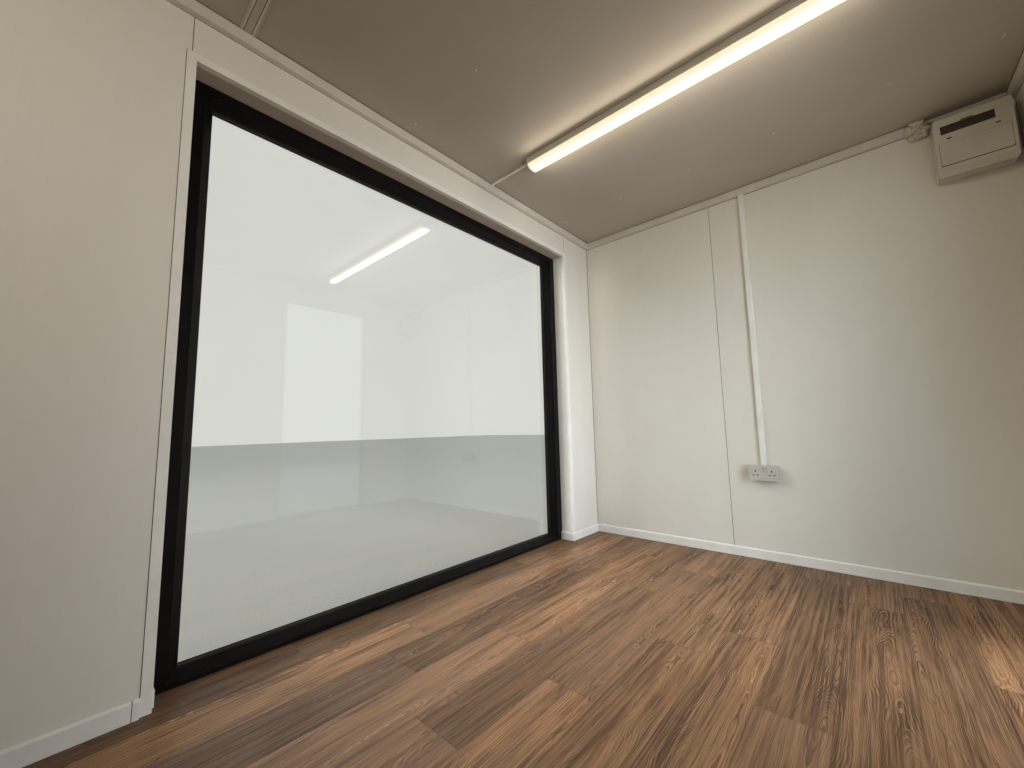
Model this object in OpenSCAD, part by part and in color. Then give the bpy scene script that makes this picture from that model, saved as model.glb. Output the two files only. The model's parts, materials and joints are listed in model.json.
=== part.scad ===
// Portable site cabin: a lined twenty-foot steel module with one room, a full-height
// picture window in one long wall and a hinged steel door in the other.
// X runs along the cabin, Y across it, Z up from the ground.
// The window wall is on -Y, the door wall on +Y, and the fitted end wall on -X.

/* [Steel module] */
// Length over the corner castings
body_l = 6058; // [4500:1:7000]
// Width over the corner castings
body_w = 2438; // [2200:1:3000]
// Height over the corner castings
body_h = 2591; // [2500:1:2900]
// Corner casting along X
casting_l = 178; // [150:1:200]
// Corner casting along Y
casting_w = 162; // [140:1:190]
// Corner casting height
casting_h = 118; // [100:1:125]
// Wall of a corner casting
casting_wall = 12; // [8:1:20]
// Length of a twist-lock slot, along X
slot_l = 124.5; // [110:0.5:130]
// Width of a twist-lock slot, along Y
slot_w = 63.5; // [50:0.5:70]
// Slot centre from the end face of its casting
slot_from_end = 102.5; // [95:0.5:108]
// Slot centre from the side face of its casting
slot_from_side = 89.5; // [84:0.5:94]
// Width of the handling hole in a casting's outer faces
side_hole_w = 79; // [60:1:90]
// Height of the handling hole in a casting's outer faces
side_hole_h = 51; // [40:1:60]
// Plate of the corner posts
post_plate = 6; // [4:0.5:8]
// Gap between the ground and the underside of the base rails
rail_lift = 12; // [6:1:20]
// Width of the base side rail's flanges
base_rail_w = 48; // [40:1:60]
// Plate of the base side rails
base_rail_plate = 4.5; // [3:0.5:6]
// Width of the base end rails
base_end_rail_w = 60; // [50:1:80]
// Wall of the tube rails
tube_wall = 3; // [2:0.5:5]
// Side of the square top rails
top_rail = 60; // [50:1:65]
// Drop of the top rails below the top of the castings
top_rail_drop = 10; // [9:1:14]
// Number of floor cross members
cross_count = 18; // [12:1:22]
// Width of a cross member
cross_w = 45; // [35:1:60]
// Plate of a cross member
cross_plate = 4; // [3:0.5:6]

/* [Steel sheet] */
// Thickness of the pressed sheet
sheet_t = 2; // [1.5:0.1:3]
// Depth of the side wall pressing
side_depth = 36; // [20:1:40]
// Outer flat of the side wall pressing
side_flat_out = 72; // [60:1:90]
// Inner flat of the side wall pressing
side_flat_in = 70; // [60:1:90]
// Run of a slope of the side wall pressing
side_slope = 68; // [40:1:80]
// Depth of the end wall pressing
end_depth = 44; // [30:1:46]
// Outer flat of the end wall pressing
end_flat_out = 110; // [90:1:120]
// Inner flat of the end wall pressing
end_flat_in = 104; // [90:1:120]
// Run of a slope of the end wall pressing
end_slope = 18; // [12:1:30]
// Depth of the roof pressing
roof_depth = 20; // [10:1:22]
// Upper flat of the roof pressing
roof_flat_up = 91; // [70:1:110]
// Lower flat of the roof pressing
roof_flat_down = 91; // [70:1:110]
// Run of a slope of the roof pressing
roof_slope = 13.5; // [10:0.5:20]
// Height of the roof's upper flats above the top rails
roof_rise = 2; // [1:0.5:4]

/* [Room] */
// Gap between the ceiling boards and the top castings
ceiling_gap = 3; // [2:1:60]
// Thickness of the insulated lining on the long walls
side_lining_t = 56; // [40:1:70]
// Thickness of the insulated lining on the end walls
end_lining_t = 64; // [40:1:80]
// Thickness of the floor deck
deck_t = 28; // [22:1:34]
// Top of the floor deck above the ground
deck_top = 170; // [160:1:175]
// Thickness of the vinyl
vinyl_t = 2; // [1.5:0.5:4]
// Thickness of the ceiling boards
ceiling_t = 18; // [12:1:20]
// Width of a wall board
board_w = 1220; // [1000:1:1300]
// Open joint between two boards
board_joint = 1.5; // [1:0.5:3]
// Joint in the fitted end wall, from the window wall
end_joint = 940; // [800:1:1220]
// Joint in the ceiling, from the fitted end wall
ceiling_joint = 2428; // [2300:1:2440]
// Length of a ceiling board
ceiling_board_l = 2440; // [2000:1:2500]
// Width of the ceiling joint strips
joint_strip_w = 54; // [40:1:70]
// Thickness of the ceiling joint strips
joint_strip_t = 3; // [2:0.5:5]
// Number of battens above the ceiling
batten_count = 9; // [6:1:12]
// Width of a ceiling batten
batten_w = 45; // [38:1:60]

/* [Trim] */
// Height of the skirting
skirting_h = 55; // [40:1:90]
// Thickness of the skirting
skirting_t = 10; // [6:1:14]
// Bevel on the skirting's top edge
skirting_bevel = 6; // [3:0.5:6]
// Height of the trunking in the ceiling corners
cove_h = 44; // [30:1:60]
// Depth of the trunking in the ceiling corners
cove_d = 25; // [16:1:30]
// Height of the slim trunking above the consumer unit
slim_h = 20; // [16:1:25]
// Depth of the slim trunking above the consumer unit
slim_d = 14; // [10:1:16]
// Leg of the corner angles round the window
angle_leg = 25; // [20:1:40]
// Thickness of the corner angles
angle_t = 2.5; // [1.5:0.5:4]
// Gap between the skirting's stop end and the corner angle
skirting_stop_gap = 18; // [10:1:30]

/* [Window] */
// Fitted end wall to the window recess
win_from_end = 345; // [300:1:600]
// Clear width of the window recess
win_w = 2220; // [1500:1:2500]
// Ceiling to the head of the window recess
win_head_drop = 200; // [150:1:500]
// Thickness of the white boards that line the recess
reveal_t = 12; // [9:1:18]
// Depth of the black window frame
frame_d = 80; // [60:1:100]
// Width of a black frame bar
frame_bar = 60; // [45:1:80]
// How far the frame runs behind each jamb of the recess
frame_tuck = 10; // [5:1:12]
// How far the frame runs up behind the head of the recess
frame_head_tuck = 28; // [10:1:32]
// Foot of the frame below the vinyl
frame_sink = 44; // [20:1:50]
// Width of the glazing bead and gasket beside the bar
bead_w = 27; // [15:1:35]
// Room face of the frame to the glass
glass_back = 48; // [30:1:55]
// Step from the frame's room face to the bead
bead_step = 12; // [6:1:20]
// Thickness of the bead's edge at the glass
bead_edge = 10; // [6:1:15]
// Thickness of one pane
pane_t = 6; // [4:1:8]
// Air gap between the two panes
pane_gap = 12; // [8:1:16]
// How far the glass sits into the bars past the sight line
glass_bite = 14; // [8:1:20]
// Width of the steel surround's bars
surround_w = 50; // [40:1:80]
// Depth of the steel surround
surround_d = 86; // [82:1:110]
// Wall of the surround's bars
surround_wall = 4; // [3:0.5:6]
// Sealant gap between the frame and its surround
sealant_gap = 3; // [2:0.5:6]

/* [Door] */
// Fitted end wall to the doorway
door_from_end = 570; // [300:1:900]
// Clear width between the door stops
door_w = 820; // [700:1:900]
// Ceiling to the door's head stop
door_head_drop = 205; // [150:1:400]
// Thickness of the door leaf
leaf_t = 45; // [38:1:50]
// Steel skin of the leaf
leaf_skin = 1.5; // [1:0.1:2]
// Overlap of the leaf on its stops
stop_lap = 15; // [10:1:20]
// Gap all round the leaf
leaf_gap = 5; // [5:0.5:8]
// Face of the door frame beside the leaf
door_frame_face = 30; // [25:1:45]
// How far the door frame stands into the room
frame_proud_in = 4; // [2:1:10]
// How far the door frame stands outside the wall
frame_proud_out = 6; // [2:1:8]
// Rise of the threshold above the vinyl
threshold_rise = 6; // [3:1:12]
// Hinge pin outside the outer face of the leaf
hinge_out = 20; // [18:1:26]
// Radius of the hinge pins
pin_r = 6; // [4:0.5:7]
// Running clearance round the hinge pins
pin_play = 0.05; // [0.02:0.01:0.1]
// Radius of the hinge knuckles
knuckle_r = 10; // [9:0.5:12]
// Height of one hinge knuckle
knuckle_h = 45; // [30:1:60]
// Gap between the two knuckles of a hinge
knuckle_gap = 1; // [0.5:0.5:2]
// Foot of the leaf to the lowest hinge
hinge_low = 160; // [100:1:300]
// Highest hinge below the top of the leaf
hinge_high = 250; // [150:1:350]
// Length of a hinge strap on the leaf
strap_l = 110; // [60:1:200]
// Thickness of the hinge plates
hinge_plate = 6; // [4:0.5:8]
// Height of the door handles above the vinyl
handle_z = 1000; // [850:1:1100]
// Centre of the handle from the leaf's free edge
handle_inset = 60; // [45:1:90]
// Length of a lever
lever_l = 125; // [90:1:150]
// Radius of a lever
lever_r = 9; // [7:0.5:12]
// Radius of the neck that carries a lever
neck_r = 6; // [4:0.5:6.5]
// Lever centre line out from the leaf's face
lever_out = 48; // [35:1:60]
// Height of the plate behind a lever
handle_plate_h = 220; // [150:1:260]
// Width of the plate behind a lever
handle_plate_w = 42; // [30:1:60]
// Thickness of the plate behind a lever
handle_plate_t = 8; // [5:1:12]

/* [Fittings] */
// Length of a light batten
light_l = 1500; // [1200:1:1800]
// Width of a light batten
light_w = 75; // [50:1:100]
// Depth of a light batten below the ceiling
light_d = 65; // [45:1:80]
// Height of the ribbed body above the diffuser
light_body_h = 34; // [20:1:40]
// End wall to the middle of a light batten
light_from_end = 1135; // [900:1:1600]
// Window wall to the end of a light batten
light_from_window = 330; // [200:1:500]
// Width of the small trunking to a light
feed_w = 16; // [12:1:25]
// Depth of the small trunking to a light
feed_d = 10; // [8:1:16]
// Width of the trunking down to the socket
drop_w = 28; // [20:1:40]
// Depth of the trunking down to the socket
drop_d = 16; // [12:1:25]
// Window wall to the middle of the socket
socket_x = 1135; // [900:1:1400]
// Middle of the socket above the vinyl
socket_z = 501; // [400:1:700]
// Width of the twin socket
socket_w = 146; // [140:1:150]
// Height of the twin socket
socket_h = 86; // [80:1:90]
// Depth of the socket's surface box
socket_box_d = 35; // [25:1:45]
// Thickness of the socket plate
socket_plate_t = 9; // [7:0.5:12]
// Corner radius of the socket
socket_r = 5; // [2:0.5:8]
// Middle of an outlet from the middle of the socket
outlet_x = 41; // [36:0.5:45]
// Earth pin hole, width
earth_w = 4.2; // [4:0.1:5]
// Earth pin hole, height
earth_h = 8.4; // [8:0.1:9]
// Live and neutral pin holes, width
live_w = 6.8; // [6:0.1:7.5]
// Live and neutral pin holes, height
live_h = 4.2; // [4:0.1:5]
// Depth of the pin holes
pin_hole_d = 7; // [5:0.5:7]
// Live and neutral holes apart
live_pitch = 22.2; // [20:0.1:24]
// Earth hole above the live and neutral holes
earth_rise = 22.2; // [20:0.1:24]
// Width of a rocker
rocker_w = 15; // [10:0.5:18]
// Height of a rocker
rocker_h = 20; // [16:0.5:26]
// Middle of the rockers above the middle of the socket
rocker_rise = 17; // [0:0.5:20]
// Middle of a rocker from the middle of the socket
rocker_x = 10; // [9:0.5:14]
// How far a rocker stands out of the plate
rocker_out = 2.5; // [1:0.5:4]
// Width of the consumer unit
unit_w = 245; // [200:1:400]
// Height of the consumer unit
unit_h = 280; // [240:1:320]
// Depth of the consumer unit's box
unit_box_d = 62; // [40:1:80]
// Depth of the consumer unit's cover
unit_cover_d = 38; // [25:1:50]
// Consumer unit to the door wall
unit_side_gap = 31; // [20:1:120]
// Top of the consumer unit below the ceiling
unit_drop = 67; // [50:1:200]
// Corner radius of the consumer unit
unit_r = 8; // [4:1:16]
// Width of the breaker window
breaker_w = 170; // [120:1:200]
// Height of the breaker window
breaker_h = 42; // [35:1:60]
// Top of the breaker window below the top of the unit
breaker_drop = 38; // [20:1:60]
// Middle of the breaker window to one side of the unit's middle
breaker_side = -16; // [-30:1:30]
// Setback of the breakers in their window
breaker_back = 10; // [5:1:20]
// Width of the cover's flap
flap_w = 220; // [150:1:235]
// Height of the cover's flap
flap_h = 109; // [80:1:130]
// Gap between the breaker window and the flap
flap_drop = 45; // [10:1:60]
// How far the flap stands out of the cover
flap_out = 3; // [2:0.5:6]
// Gap between the taped cable entry and the consumer unit
wrap_gap = 4; // [2:1:40]
// Width of the taped cable entry
wrap_w = 84; // [60:1:90]
// Height of the taped cable entry
wrap_h = 84; // [60:1:90]
// Depth of the taped cable entry
wrap_d = 52; // [40:1:70]

/* [Hidden] */
$fn = 48;

half_l = body_l / 2;
half_w = body_w / 2;
side_zone = side_depth + sheet_t;
end_zone = end_depth + sheet_t;
side_build = side_zone + side_lining_t;
end_build = end_zone + end_lining_t;
room_x = half_l - end_build;
room_y = half_w - side_build;
floor_z = deck_top + vinyl_t;
ceiling_z = body_h - casting_h - ceiling_gap - ceiling_t;
post_x = half_l - casting_l;
post_y = half_w - casting_w;
top_rail_z1 = body_h - top_rail_drop;
top_rail_z0 = top_rail_z1 - top_rail;

// The window, from the fitted end wall
win_x0 = -room_x + win_from_end;
win_x1 = win_x0 + win_w;
win_mid = (win_x0 + win_x1) / 2;
win_top = ceiling_z - win_head_drop;
frame_w = win_w + 2 * frame_tuck;
frame_z0 = floor_z - frame_sink;
frame_z1 = win_top + frame_head_tuck;
frame_h = frame_z1 - frame_z0;
frame_mid_z = (frame_z0 + frame_z1) / 2;
glass_inset = frame_bar + bead_w - glass_bite;
unit_glass_t = 2 * pane_t + pane_gap;

// The doorway and its frame, from the fitted end wall
door_x0 = -room_x + door_from_end;
door_x1 = door_x0 + door_w;
door_top = ceiling_z - door_head_drop;
frame_reach = stop_lap + leaf_gap + door_frame_face;
door_out_x0 = door_x0 - frame_reach;
door_out_x1 = door_x1 + frame_reach;
door_out_top = door_top + frame_reach;
door_frame_d = frame_proud_in + side_build + frame_proud_out;
threshold_top = floor_z + threshold_rise;
leaf_w = door_w + 2 * stop_lap;
leaf_z0 = threshold_top + leaf_gap;
leaf_z1 = door_top + stop_lap;
hinge_x = door_x1 + stop_lap + leaf_gap / 2;
hinge_y = half_w + hinge_out;
hinge_zs = [leaf_z0 + hinge_low, (leaf_z0 + leaf_z1) / 2, leaf_z1 - hinge_high];
door_open_angle = 90;

unit_y1 = room_y - unit_side_gap;
unit_y0 = unit_y1 - unit_w;
unit_top = ceiling_z - unit_drop;
wrap_y = unit_y0 - wrap_gap - wrap_w / 2;

// How far a cut runs past what it cuts, and the least step between two bends
overrun = 1;
least_step = 0.01;
// How much wider than a half ellipse the diffuser's section is
diffuser_bulge = 1.2;
slot_x = half_l - slot_from_end;
slot_y = half_w - slot_from_side;

// Depth of a pressed sheet below its outer plane at a distance s along it
function press_depth(s, out, slope, low, depth) =
    let (pitch = out + low + 2 * slope)
    let (m = s - floor(s / pitch) * pitch)
    m < out ? 0
    : m < out + slope ? depth * (m - out) / slope
    : m < out + slope + low ? depth
    : depth * (pitch - m) / slope;

// Outline points of a pressed sheet between a and b, with its bends measured from zero
function press_points(a, b, out, slope, low, depth) =
    let (pitch = out + low + 2 * slope)
    let (bends = [0, out, out + slope, out + slope + low])
    concat(
        [[a, press_depth(a, out, slope, low, depth)]],
        [for (k = [floor(a / pitch) - 1 : ceil(b / pitch) + 1], bend = bends)
            let (s = k * pitch + bend)
            if (s > a + least_step && s < b - least_step)
                [s, bend == 0 || bend == out ? 0 : depth]],
        [[b, press_depth(b, out, slope, low, depth)]]);

function reversed(list) = [for (i = [len(list) - 1 : -1 : 0]) list[i]];

// A pressed sheet, outer plane at y = 0, its depth towards +y, extruded up
module pressed_sheet(a, b, height, out, slope, low, depth) {
    top = press_points(a, b, out, slope, low, depth);
    back = [for (p = reversed(top)) [p[0], p[1] + sheet_t]];
    linear_extrude(height) polygon(concat(top, back));
}

module side_sheet(a, b, z0, z1) {
    translate([0, -half_w, z0])
        pressed_sheet(a, b, z1 - z0, side_flat_out, side_slope, side_flat_in, side_depth);
}

// A block given by its lowest and highest corners
module block(low, high) {
    translate(low) cube(high - low);
}

// The same piece on the opposite long side or end
module both_sides() {
    children();
    mirror([0, 1, 0]) children();
}

module both_ends() {
    children();
    mirror([1, 0, 0]) children();
}

// A hollow rectangular tube along X, from its lowest to its highest corner
module tube_x(low, high, wall) {
    difference() {
        block(low, high);
        block([low[0] - overrun, low[1] + wall, low[2] + wall],
            [high[0] + overrun, high[1] - wall, high[2] - wall]);
    }
}

// A hollow rectangular tube along Y, from its lowest to its highest corner
module tube_y(low, high, wall) {
    difference() {
        block(low, high);
        block([low[0] + wall, low[1] - overrun, low[2] + wall],
            [high[0] - wall, high[1] + overrun, high[2] - wall]);
    }
}

// One bar of a mitred frame round a w by h opening. The outline is drawn as
// [inwards from the outer edge, outwards from the room face], and reach is how far
// it comes inwards. Sides are 0 bottom, 1 right, 2 top and 3 left.
module mitred_bar(w, h, side, reach, outline) {
    run = side % 2 == 0 ? w : h;
    drop = side % 2 == 0 ? h : w;
    rotate([0, -90 * side, 0])
        translate([0, 0, -drop / 2])
        intersection() {
            rotate([90, 0, 90])
                linear_extrude(run, center = true)
                polygon([for (p = outline) [-p[1], p[0]]]);
            rotate([90, 0, 0])
                linear_extrude(2 * run, center = true)
                polygon([[-run / 2, 0], [run / 2, 0],
                    [run / 2 - reach, reach], [-run / 2 + reach, reach]]);
        }
}

// Wall boards side by side from a to b, joints every board_w, in a wall at -Y
module board_run(a, b, z0, z1) {
    count = ceil((b - a) / board_w);
    for (i = [0 : count - 1]) {
        x0 = a + i * board_w + (i > 0 ? board_joint : 0);
        x1 = min(a + (i + 1) * board_w, b);
        block([x0, -room_y - side_lining_t, z0], [x1, -room_y, z1]);
    }
}

// Steel module

module base_rails() {
    color("lightgray") {
        both_sides() {
            rail_z0 = rail_lift;
            difference() {
                block([-post_x, half_w - base_rail_w, rail_z0], [post_x, half_w, deck_top]);
                block([-post_x - overrun, half_w - base_rail_w - overrun,
                    rail_z0 + base_rail_plate],
                    [post_x + overrun, half_w - base_rail_plate,
                    deck_top - base_rail_plate]);
            }
        }
        both_ends()
            tube_y([half_l - base_end_rail_w, -post_y, rail_lift],
                [half_l, post_y, deck_top], tube_wall);
    }
}

module floor_cross_members() {
    z0 = rail_lift + base_rail_plate;
    z1 = deck_top - deck_t;
    y1 = half_w - base_rail_plate;
    span = 2 * post_x - 2 * cross_w;
    color("lightgray")
        for (i = [0 : cross_count - 1])
            translate([-span / 2 + i * span / (cross_count - 1), 0, 0])
                difference() {
                    block([-cross_w / 2, -y1, z0], [cross_w / 2, y1, z1]);
                    block([-cross_w / 2 + cross_plate, -y1 - overrun, z0 + cross_plate],
                        [cross_w, y1 + overrun, z1 - cross_plate]);
                }
}

// A slot with round ends, long along X
module slot(length, width, height) {
    r = width / 2;
    for (s = [-1, 1])
        translate([s * (length / 2 - r), 0, 0]) cylinder(h = height, r = r);
    translate([-length / 2 + r, -r, 0]) cube([length - 2 * r, width, height]);
}

// The casting at the +X +Y corner, its slotted face at z = 0
module casting() {
    difference() {
        block([post_x, post_y, 0], [half_l, half_w, casting_h]);
        block([post_x + casting_wall, post_y + casting_wall, 2 * casting_wall],
            [half_l - casting_wall, half_w - casting_wall, casting_h - casting_wall]);
        translate([slot_x, slot_y, -overrun])
            slot(slot_l, slot_w, 2 * (casting_wall + overrun));
        translate([half_l + overrun, slot_y, casting_h / 2])
            rotate([0, -90, 0])
            rotate([0, 0, 90])
            slot(side_hole_w, side_hole_h, casting_wall + 2 * overrun);
        translate([slot_x, half_w + overrun, casting_h / 2])
            rotate([90, 0, 0])
            slot(side_hole_w, side_hole_h, casting_wall + 2 * overrun);
    }
}

module corner_castings() {
    color("lightgray") {
        both_ends() both_sides() casting();
        translate([0, 0, body_h])
            mirror([0, 0, 1]) both_ends() both_sides() casting();
    }
}

// Each post is a folded angle whose legs end in lips as deep as the pressed walls
module corner_posts() {
    color("lightgray")
        both_ends() both_sides()
            translate([0, 0, casting_h])
            linear_extrude(body_h - 2 * casting_h)
            polygon([
                [half_l, half_w], [post_x, half_w], [post_x, half_w - side_zone],
                [post_x + post_plate, half_w - side_zone],
                [post_x + post_plate, half_w - post_plate],
                [half_l - post_plate, half_w - post_plate],
                [half_l - post_plate, post_y + post_plate],
                [half_l - end_zone, post_y + post_plate],
                [half_l - end_zone, post_y], [half_l, post_y]]);
}

module top_rails() {
    color("lightgray") {
        both_sides()
            tube_x([-post_x, half_w - top_rail, top_rail_z0],
                [post_x, half_w, top_rail_z1], tube_wall);
        both_ends()
            tube_y([half_l - top_rail, -post_y, top_rail_z0],
                [half_l, post_y, top_rail_z1], tube_wall);
    }
}

module roof_sheet() {
    top_z = top_rail_z1 + roof_rise;
    color("whitesmoke") {
        translate([0, half_w - top_rail, top_z])
            rotate([90, 0, 0])
            linear_extrude(body_w - 2 * top_rail)
            polygon(concat(
                [for (p = press_points(-post_x, post_x, roof_flat_up, roof_slope,
                    roof_flat_down, roof_depth)) [p[0], -p[1]]],
                [for (p = reversed(press_points(-post_x, post_x, roof_flat_up, roof_slope,
                    roof_flat_down, roof_depth))) [p[0], -p[1] - sheet_t]]));
        both_ends()
            block([post_x - roof_flat_up, -post_y, top_z - sheet_t],
                [half_l - top_rail / 2, post_y, top_z]);
    }
}

module window_wall_cladding() {
    color("whitesmoke") {
        side_sheet(-post_x, win_x0 - reveal_t, deck_top, top_rail_z0);
        side_sheet(win_x1 + reveal_t, post_x, deck_top, top_rail_z0);
    }
}

module door_wall_cladding() {
    color("whitesmoke")
        mirror([0, 1, 0]) {
            side_sheet(-post_x, door_out_x0, deck_top, top_rail_z0);
            side_sheet(door_out_x1, post_x, deck_top, top_rail_z0);
        }
}

module header_cladding() {
    color("whitesmoke") {
        side_sheet(win_x0 - reveal_t, win_x1 + reveal_t, win_top + reveal_t, top_rail_z0);
        mirror([0, 1, 0])
            side_sheet(door_out_x0, door_out_x1, door_out_top, top_rail_z0);
    }
}

module end_wall_cladding() {
    color("whitesmoke")
        both_ends()
            translate([half_l, 0, deck_top])
            rotate([0, 0, 90])
            pressed_sheet(-post_y, post_y, top_rail_z0 - deck_top,
                end_flat_out, end_slope, end_flat_in, end_depth);
}

// Floor

module floor_deck() {
    color("burlywood")
        block([-half_l + base_end_rail_w, -half_w + base_rail_w, deck_top - deck_t],
            [half_l - base_end_rail_w, half_w - base_rail_w, deck_top]);
}

// The vinyl is cut round the feet of the door frame and runs on into the window recess
module vinyl_floor() {
    color("saddlebrown") {
        difference() {
            block([-room_x, -room_y, deck_top], [room_x, room_y, floor_z]);
            for (x = [door_out_x0, door_x1])
                block([x, room_y - frame_proud_in, deck_top - overrun],
                    [x + frame_reach, room_y + overrun, floor_z + overrun]);
        }
        block([win_x0, -half_w, deck_top], [win_x1, -room_y + overrun, floor_z]);
    }
}

// Lining

module window_wall_lining() {
    color("ivory") {
        board_run(-room_x - end_lining_t, win_x0 - reveal_t, deck_top, ceiling_z);
        board_run(win_x1 + reveal_t, room_x + end_lining_t, deck_top, ceiling_z);
    }
}

module door_wall_lining() {
    color("ivory")
        mirror([0, 1, 0]) {
            board_run(-room_x - end_lining_t, door_out_x0, deck_top, ceiling_z);
            board_run(door_out_x1, room_x + end_lining_t, deck_top, ceiling_z);
        }
}

module header_lining() {
    y0 = -room_y - side_lining_t;
    color("ivory") {
        block([win_x0 - reveal_t + board_joint, y0, win_top + reveal_t],
            [win_x1 + reveal_t - board_joint, -room_y, ceiling_z]);
        mirror([0, 1, 0])
            block([door_out_x0 + board_joint, y0, door_out_top],
                [door_out_x1 - board_joint, -room_y, ceiling_z]);
    }
}

module end_wall_lining() {
    joint_y = -room_y + end_joint;
    color("ivory")
        both_ends() {
            block([room_x, -room_y, deck_top],
                [room_x + end_lining_t, joint_y - board_joint / 2, ceiling_z]);
            block([room_x, joint_y + board_joint / 2, deck_top],
                [room_x + end_lining_t, room_y, ceiling_z]);
        }
}

// Ceiling

module ceiling_battens() {
    span = 2 * post_x - 4 * batten_w;
    y1 = room_y + side_lining_t;
    color("burlywood")
        for (i = [0 : batten_count - 1])
            translate([-span / 2 + i * span / (batten_count - 1), 0, 0])
                block([-batten_w / 2, -y1, ceiling_z + ceiling_t],
                    [batten_w / 2, y1, top_rail_z0]);
}

joint_xs = [-room_x + ceiling_joint, -room_x + ceiling_joint + ceiling_board_l];

module ceiling_panels() {
    gap = board_joint / 2;
    x_end = room_x + end_lining_t;
    y1 = room_y + side_lining_t;
    edges = [[-x_end, joint_xs[0] - gap], [joint_xs[0] + gap, joint_xs[1] - gap],
        [joint_xs[1] + gap, x_end]];
    color("linen")
        for (e = edges)
            block([e[0], -y1, ceiling_z], [e[1], y1, ceiling_z + ceiling_t]);
}

module ceiling_joint_strips() {
    color("white")
        for (x = joint_xs)
            block([x - joint_strip_w / 2, -room_y + cove_d, ceiling_z - joint_strip_t],
                [x + joint_strip_w / 2, room_y - cove_d, ceiling_z]);
}

// A plan wedge that mitres a trim of depth d in the room's four corners
module mitre_plan(d) {
    linear_extrude(2 * cove_h, center = true)
        polygon([[-room_x, -room_y], [room_x, -room_y],
            [room_x - d, -room_y + d], [-room_x + d, -room_y + d]]);
}

module ceiling_trunking_sides() {
    color("white")
        both_sides()
            intersection() {
                block([-room_x, -room_y, ceiling_z - cove_h],
                    [room_x, -room_y + cove_d, ceiling_z]);
                translate([0, 0, ceiling_z]) mitre_plan(cove_d);
            }
}

// The far end's trunking is whole, and the fitted end's stops at the taped entry,
// where the slim trunking goes on above the consumer unit
module ceiling_trunking_ends() {
    z0 = ceiling_z - cove_h;
    color("white") {
        translate([0, 0, z0]) linear_extrude(cove_h)
            polygon([[room_x, -room_y], [room_x, room_y],
                [room_x - cove_d, room_y - cove_d], [room_x - cove_d, -room_y + cove_d]]);
        translate([0, 0, z0]) linear_extrude(cove_h)
            polygon([[-room_x, -room_y], [-room_x + cove_d, -room_y + cove_d],
                [-room_x + cove_d, wrap_y - wrap_w / 2], [-room_x, wrap_y - wrap_w / 2]]);
        block([-room_x, wrap_y + wrap_w / 2, ceiling_z - slim_h],
            [-room_x + slim_d, room_y - cove_d, ceiling_z]);
    }
}

// Skirting profile: out from the wall, then up, with its front top edge bevelled
module skirting_profile() {
    polygon([[0, 0], [skirting_t, 0], [skirting_t, skirting_h - skirting_bevel],
        [skirting_t - skirting_bevel, skirting_h], [0, skirting_h]]);
}

// A run of skirting along the wall at -Y, from x = a to x = b
module skirting_run(a, b) {
    translate([a, -room_y, floor_z])
        rotate([90, 0, 90])
        linear_extrude(b - a)
        skirting_profile();
}

// A run of skirting along the recess jamb at x = win_x0, from the frame out to y = a
module jamb_skirting(a) {
    translate([win_x0, a, floor_z])
        rotate([90, 0, 0])
        linear_extrude(a + half_w)
        skirting_profile();
}

// On the plain side of the window a short stop end fills the gap to the corner angle
module skirting_sides() {
    stop_x = win_x1 + angle_leg;
    color("white") {
        skirting_run(-room_x + skirting_t, win_x0);
        jamb_skirting(-room_y + skirting_t);
        translate([win_x0 + win_x1, 0, 0])
            mirror([1, 0, 0])
            jamb_skirting(-room_y - angle_leg + angle_t);
        skirting_run(stop_x, stop_x + skirting_stop_gap - board_joint);
        skirting_run(stop_x + skirting_stop_gap, room_x - skirting_t);
        mirror([0, 1, 0]) {
            skirting_run(-room_x + skirting_t, door_out_x0);
            skirting_run(door_out_x1, room_x - skirting_t);
        }
    }
}

module skirting_ends() {
    color("white")
        both_ends()
            translate([-room_x, room_y, floor_z])
            rotate([90, 0, 0])
            linear_extrude(2 * room_y)
            skirting_profile();
}

// Window

module at_window() {
    translate([win_mid, -half_w, frame_mid_z]) children();
}

surround_gap_w = frame_w + 2 * (sealant_gap + surround_w);
surround_gap_h = frame_h + 2 * (sealant_gap + surround_w);

// The hollow bar of the surround, drawn as two nested rectangles
module surround_bar(side) {
    difference() {
        mitred_bar(surround_gap_w, surround_gap_h, side, surround_w,
            [[0, 0], [surround_w, 0], [surround_w, surround_d], [0, surround_d]]);
        mitred_bar(surround_gap_w, surround_gap_h, side, surround_w,
            [[surround_wall, surround_wall], [surround_w - surround_wall, surround_wall],
            [surround_w - surround_wall, surround_d - surround_wall],
            [surround_wall, surround_d - surround_wall]]);
    }
}

module window_surround_jambs() {
    color("whitesmoke") at_window() for (side = [1, 3]) surround_bar(side);
}

module window_surround_rails() {
    color("whitesmoke") at_window() for (side = [0, 2]) surround_bar(side);
}

frame_lip = frame_d - glass_back - unit_glass_t;

// A black bar with the outer lip that the glass seats against
module frame_bar_solid(side) {
    mitred_bar(frame_w, frame_h, side, frame_bar + bead_w,
        [[0, 0], [frame_bar, 0], [frame_bar, frame_d - frame_lip],
        [frame_bar + bead_w, frame_d - frame_lip], [frame_bar + bead_w, frame_d],
        [0, frame_d]]);
}

module window_frame_jambs() {
    color([0.05, 0.05, 0.055]) at_window() for (side = [1, 3]) frame_bar_solid(side);
}

module window_frame_rails() {
    color([0.05, 0.05, 0.055]) at_window() for (side = [0, 2]) frame_bar_solid(side);
}

// Sloped beads on the room side, from the bars to the glass
module glazing_beads() {
    color([0.08, 0.08, 0.085])
        at_window()
            for (side = [0 : 3])
                mitred_bar(frame_w, frame_h, side, frame_bar + bead_w,
                    [[frame_bar, bead_step], [frame_bar + bead_w, glass_back - bead_edge],
                    [frame_bar + bead_w, glass_back], [frame_bar, glass_back]]);
}

// A slab centred on the window, its room face back by y, inset from the frame's outer edge
module window_slab(y, thickness, inset) {
    block([win_mid - frame_w / 2 + inset, -half_w - y - thickness, frame_z0 + inset],
        [win_mid + frame_w / 2 - inset, -half_w - y, frame_z1 - inset]);
}

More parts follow.
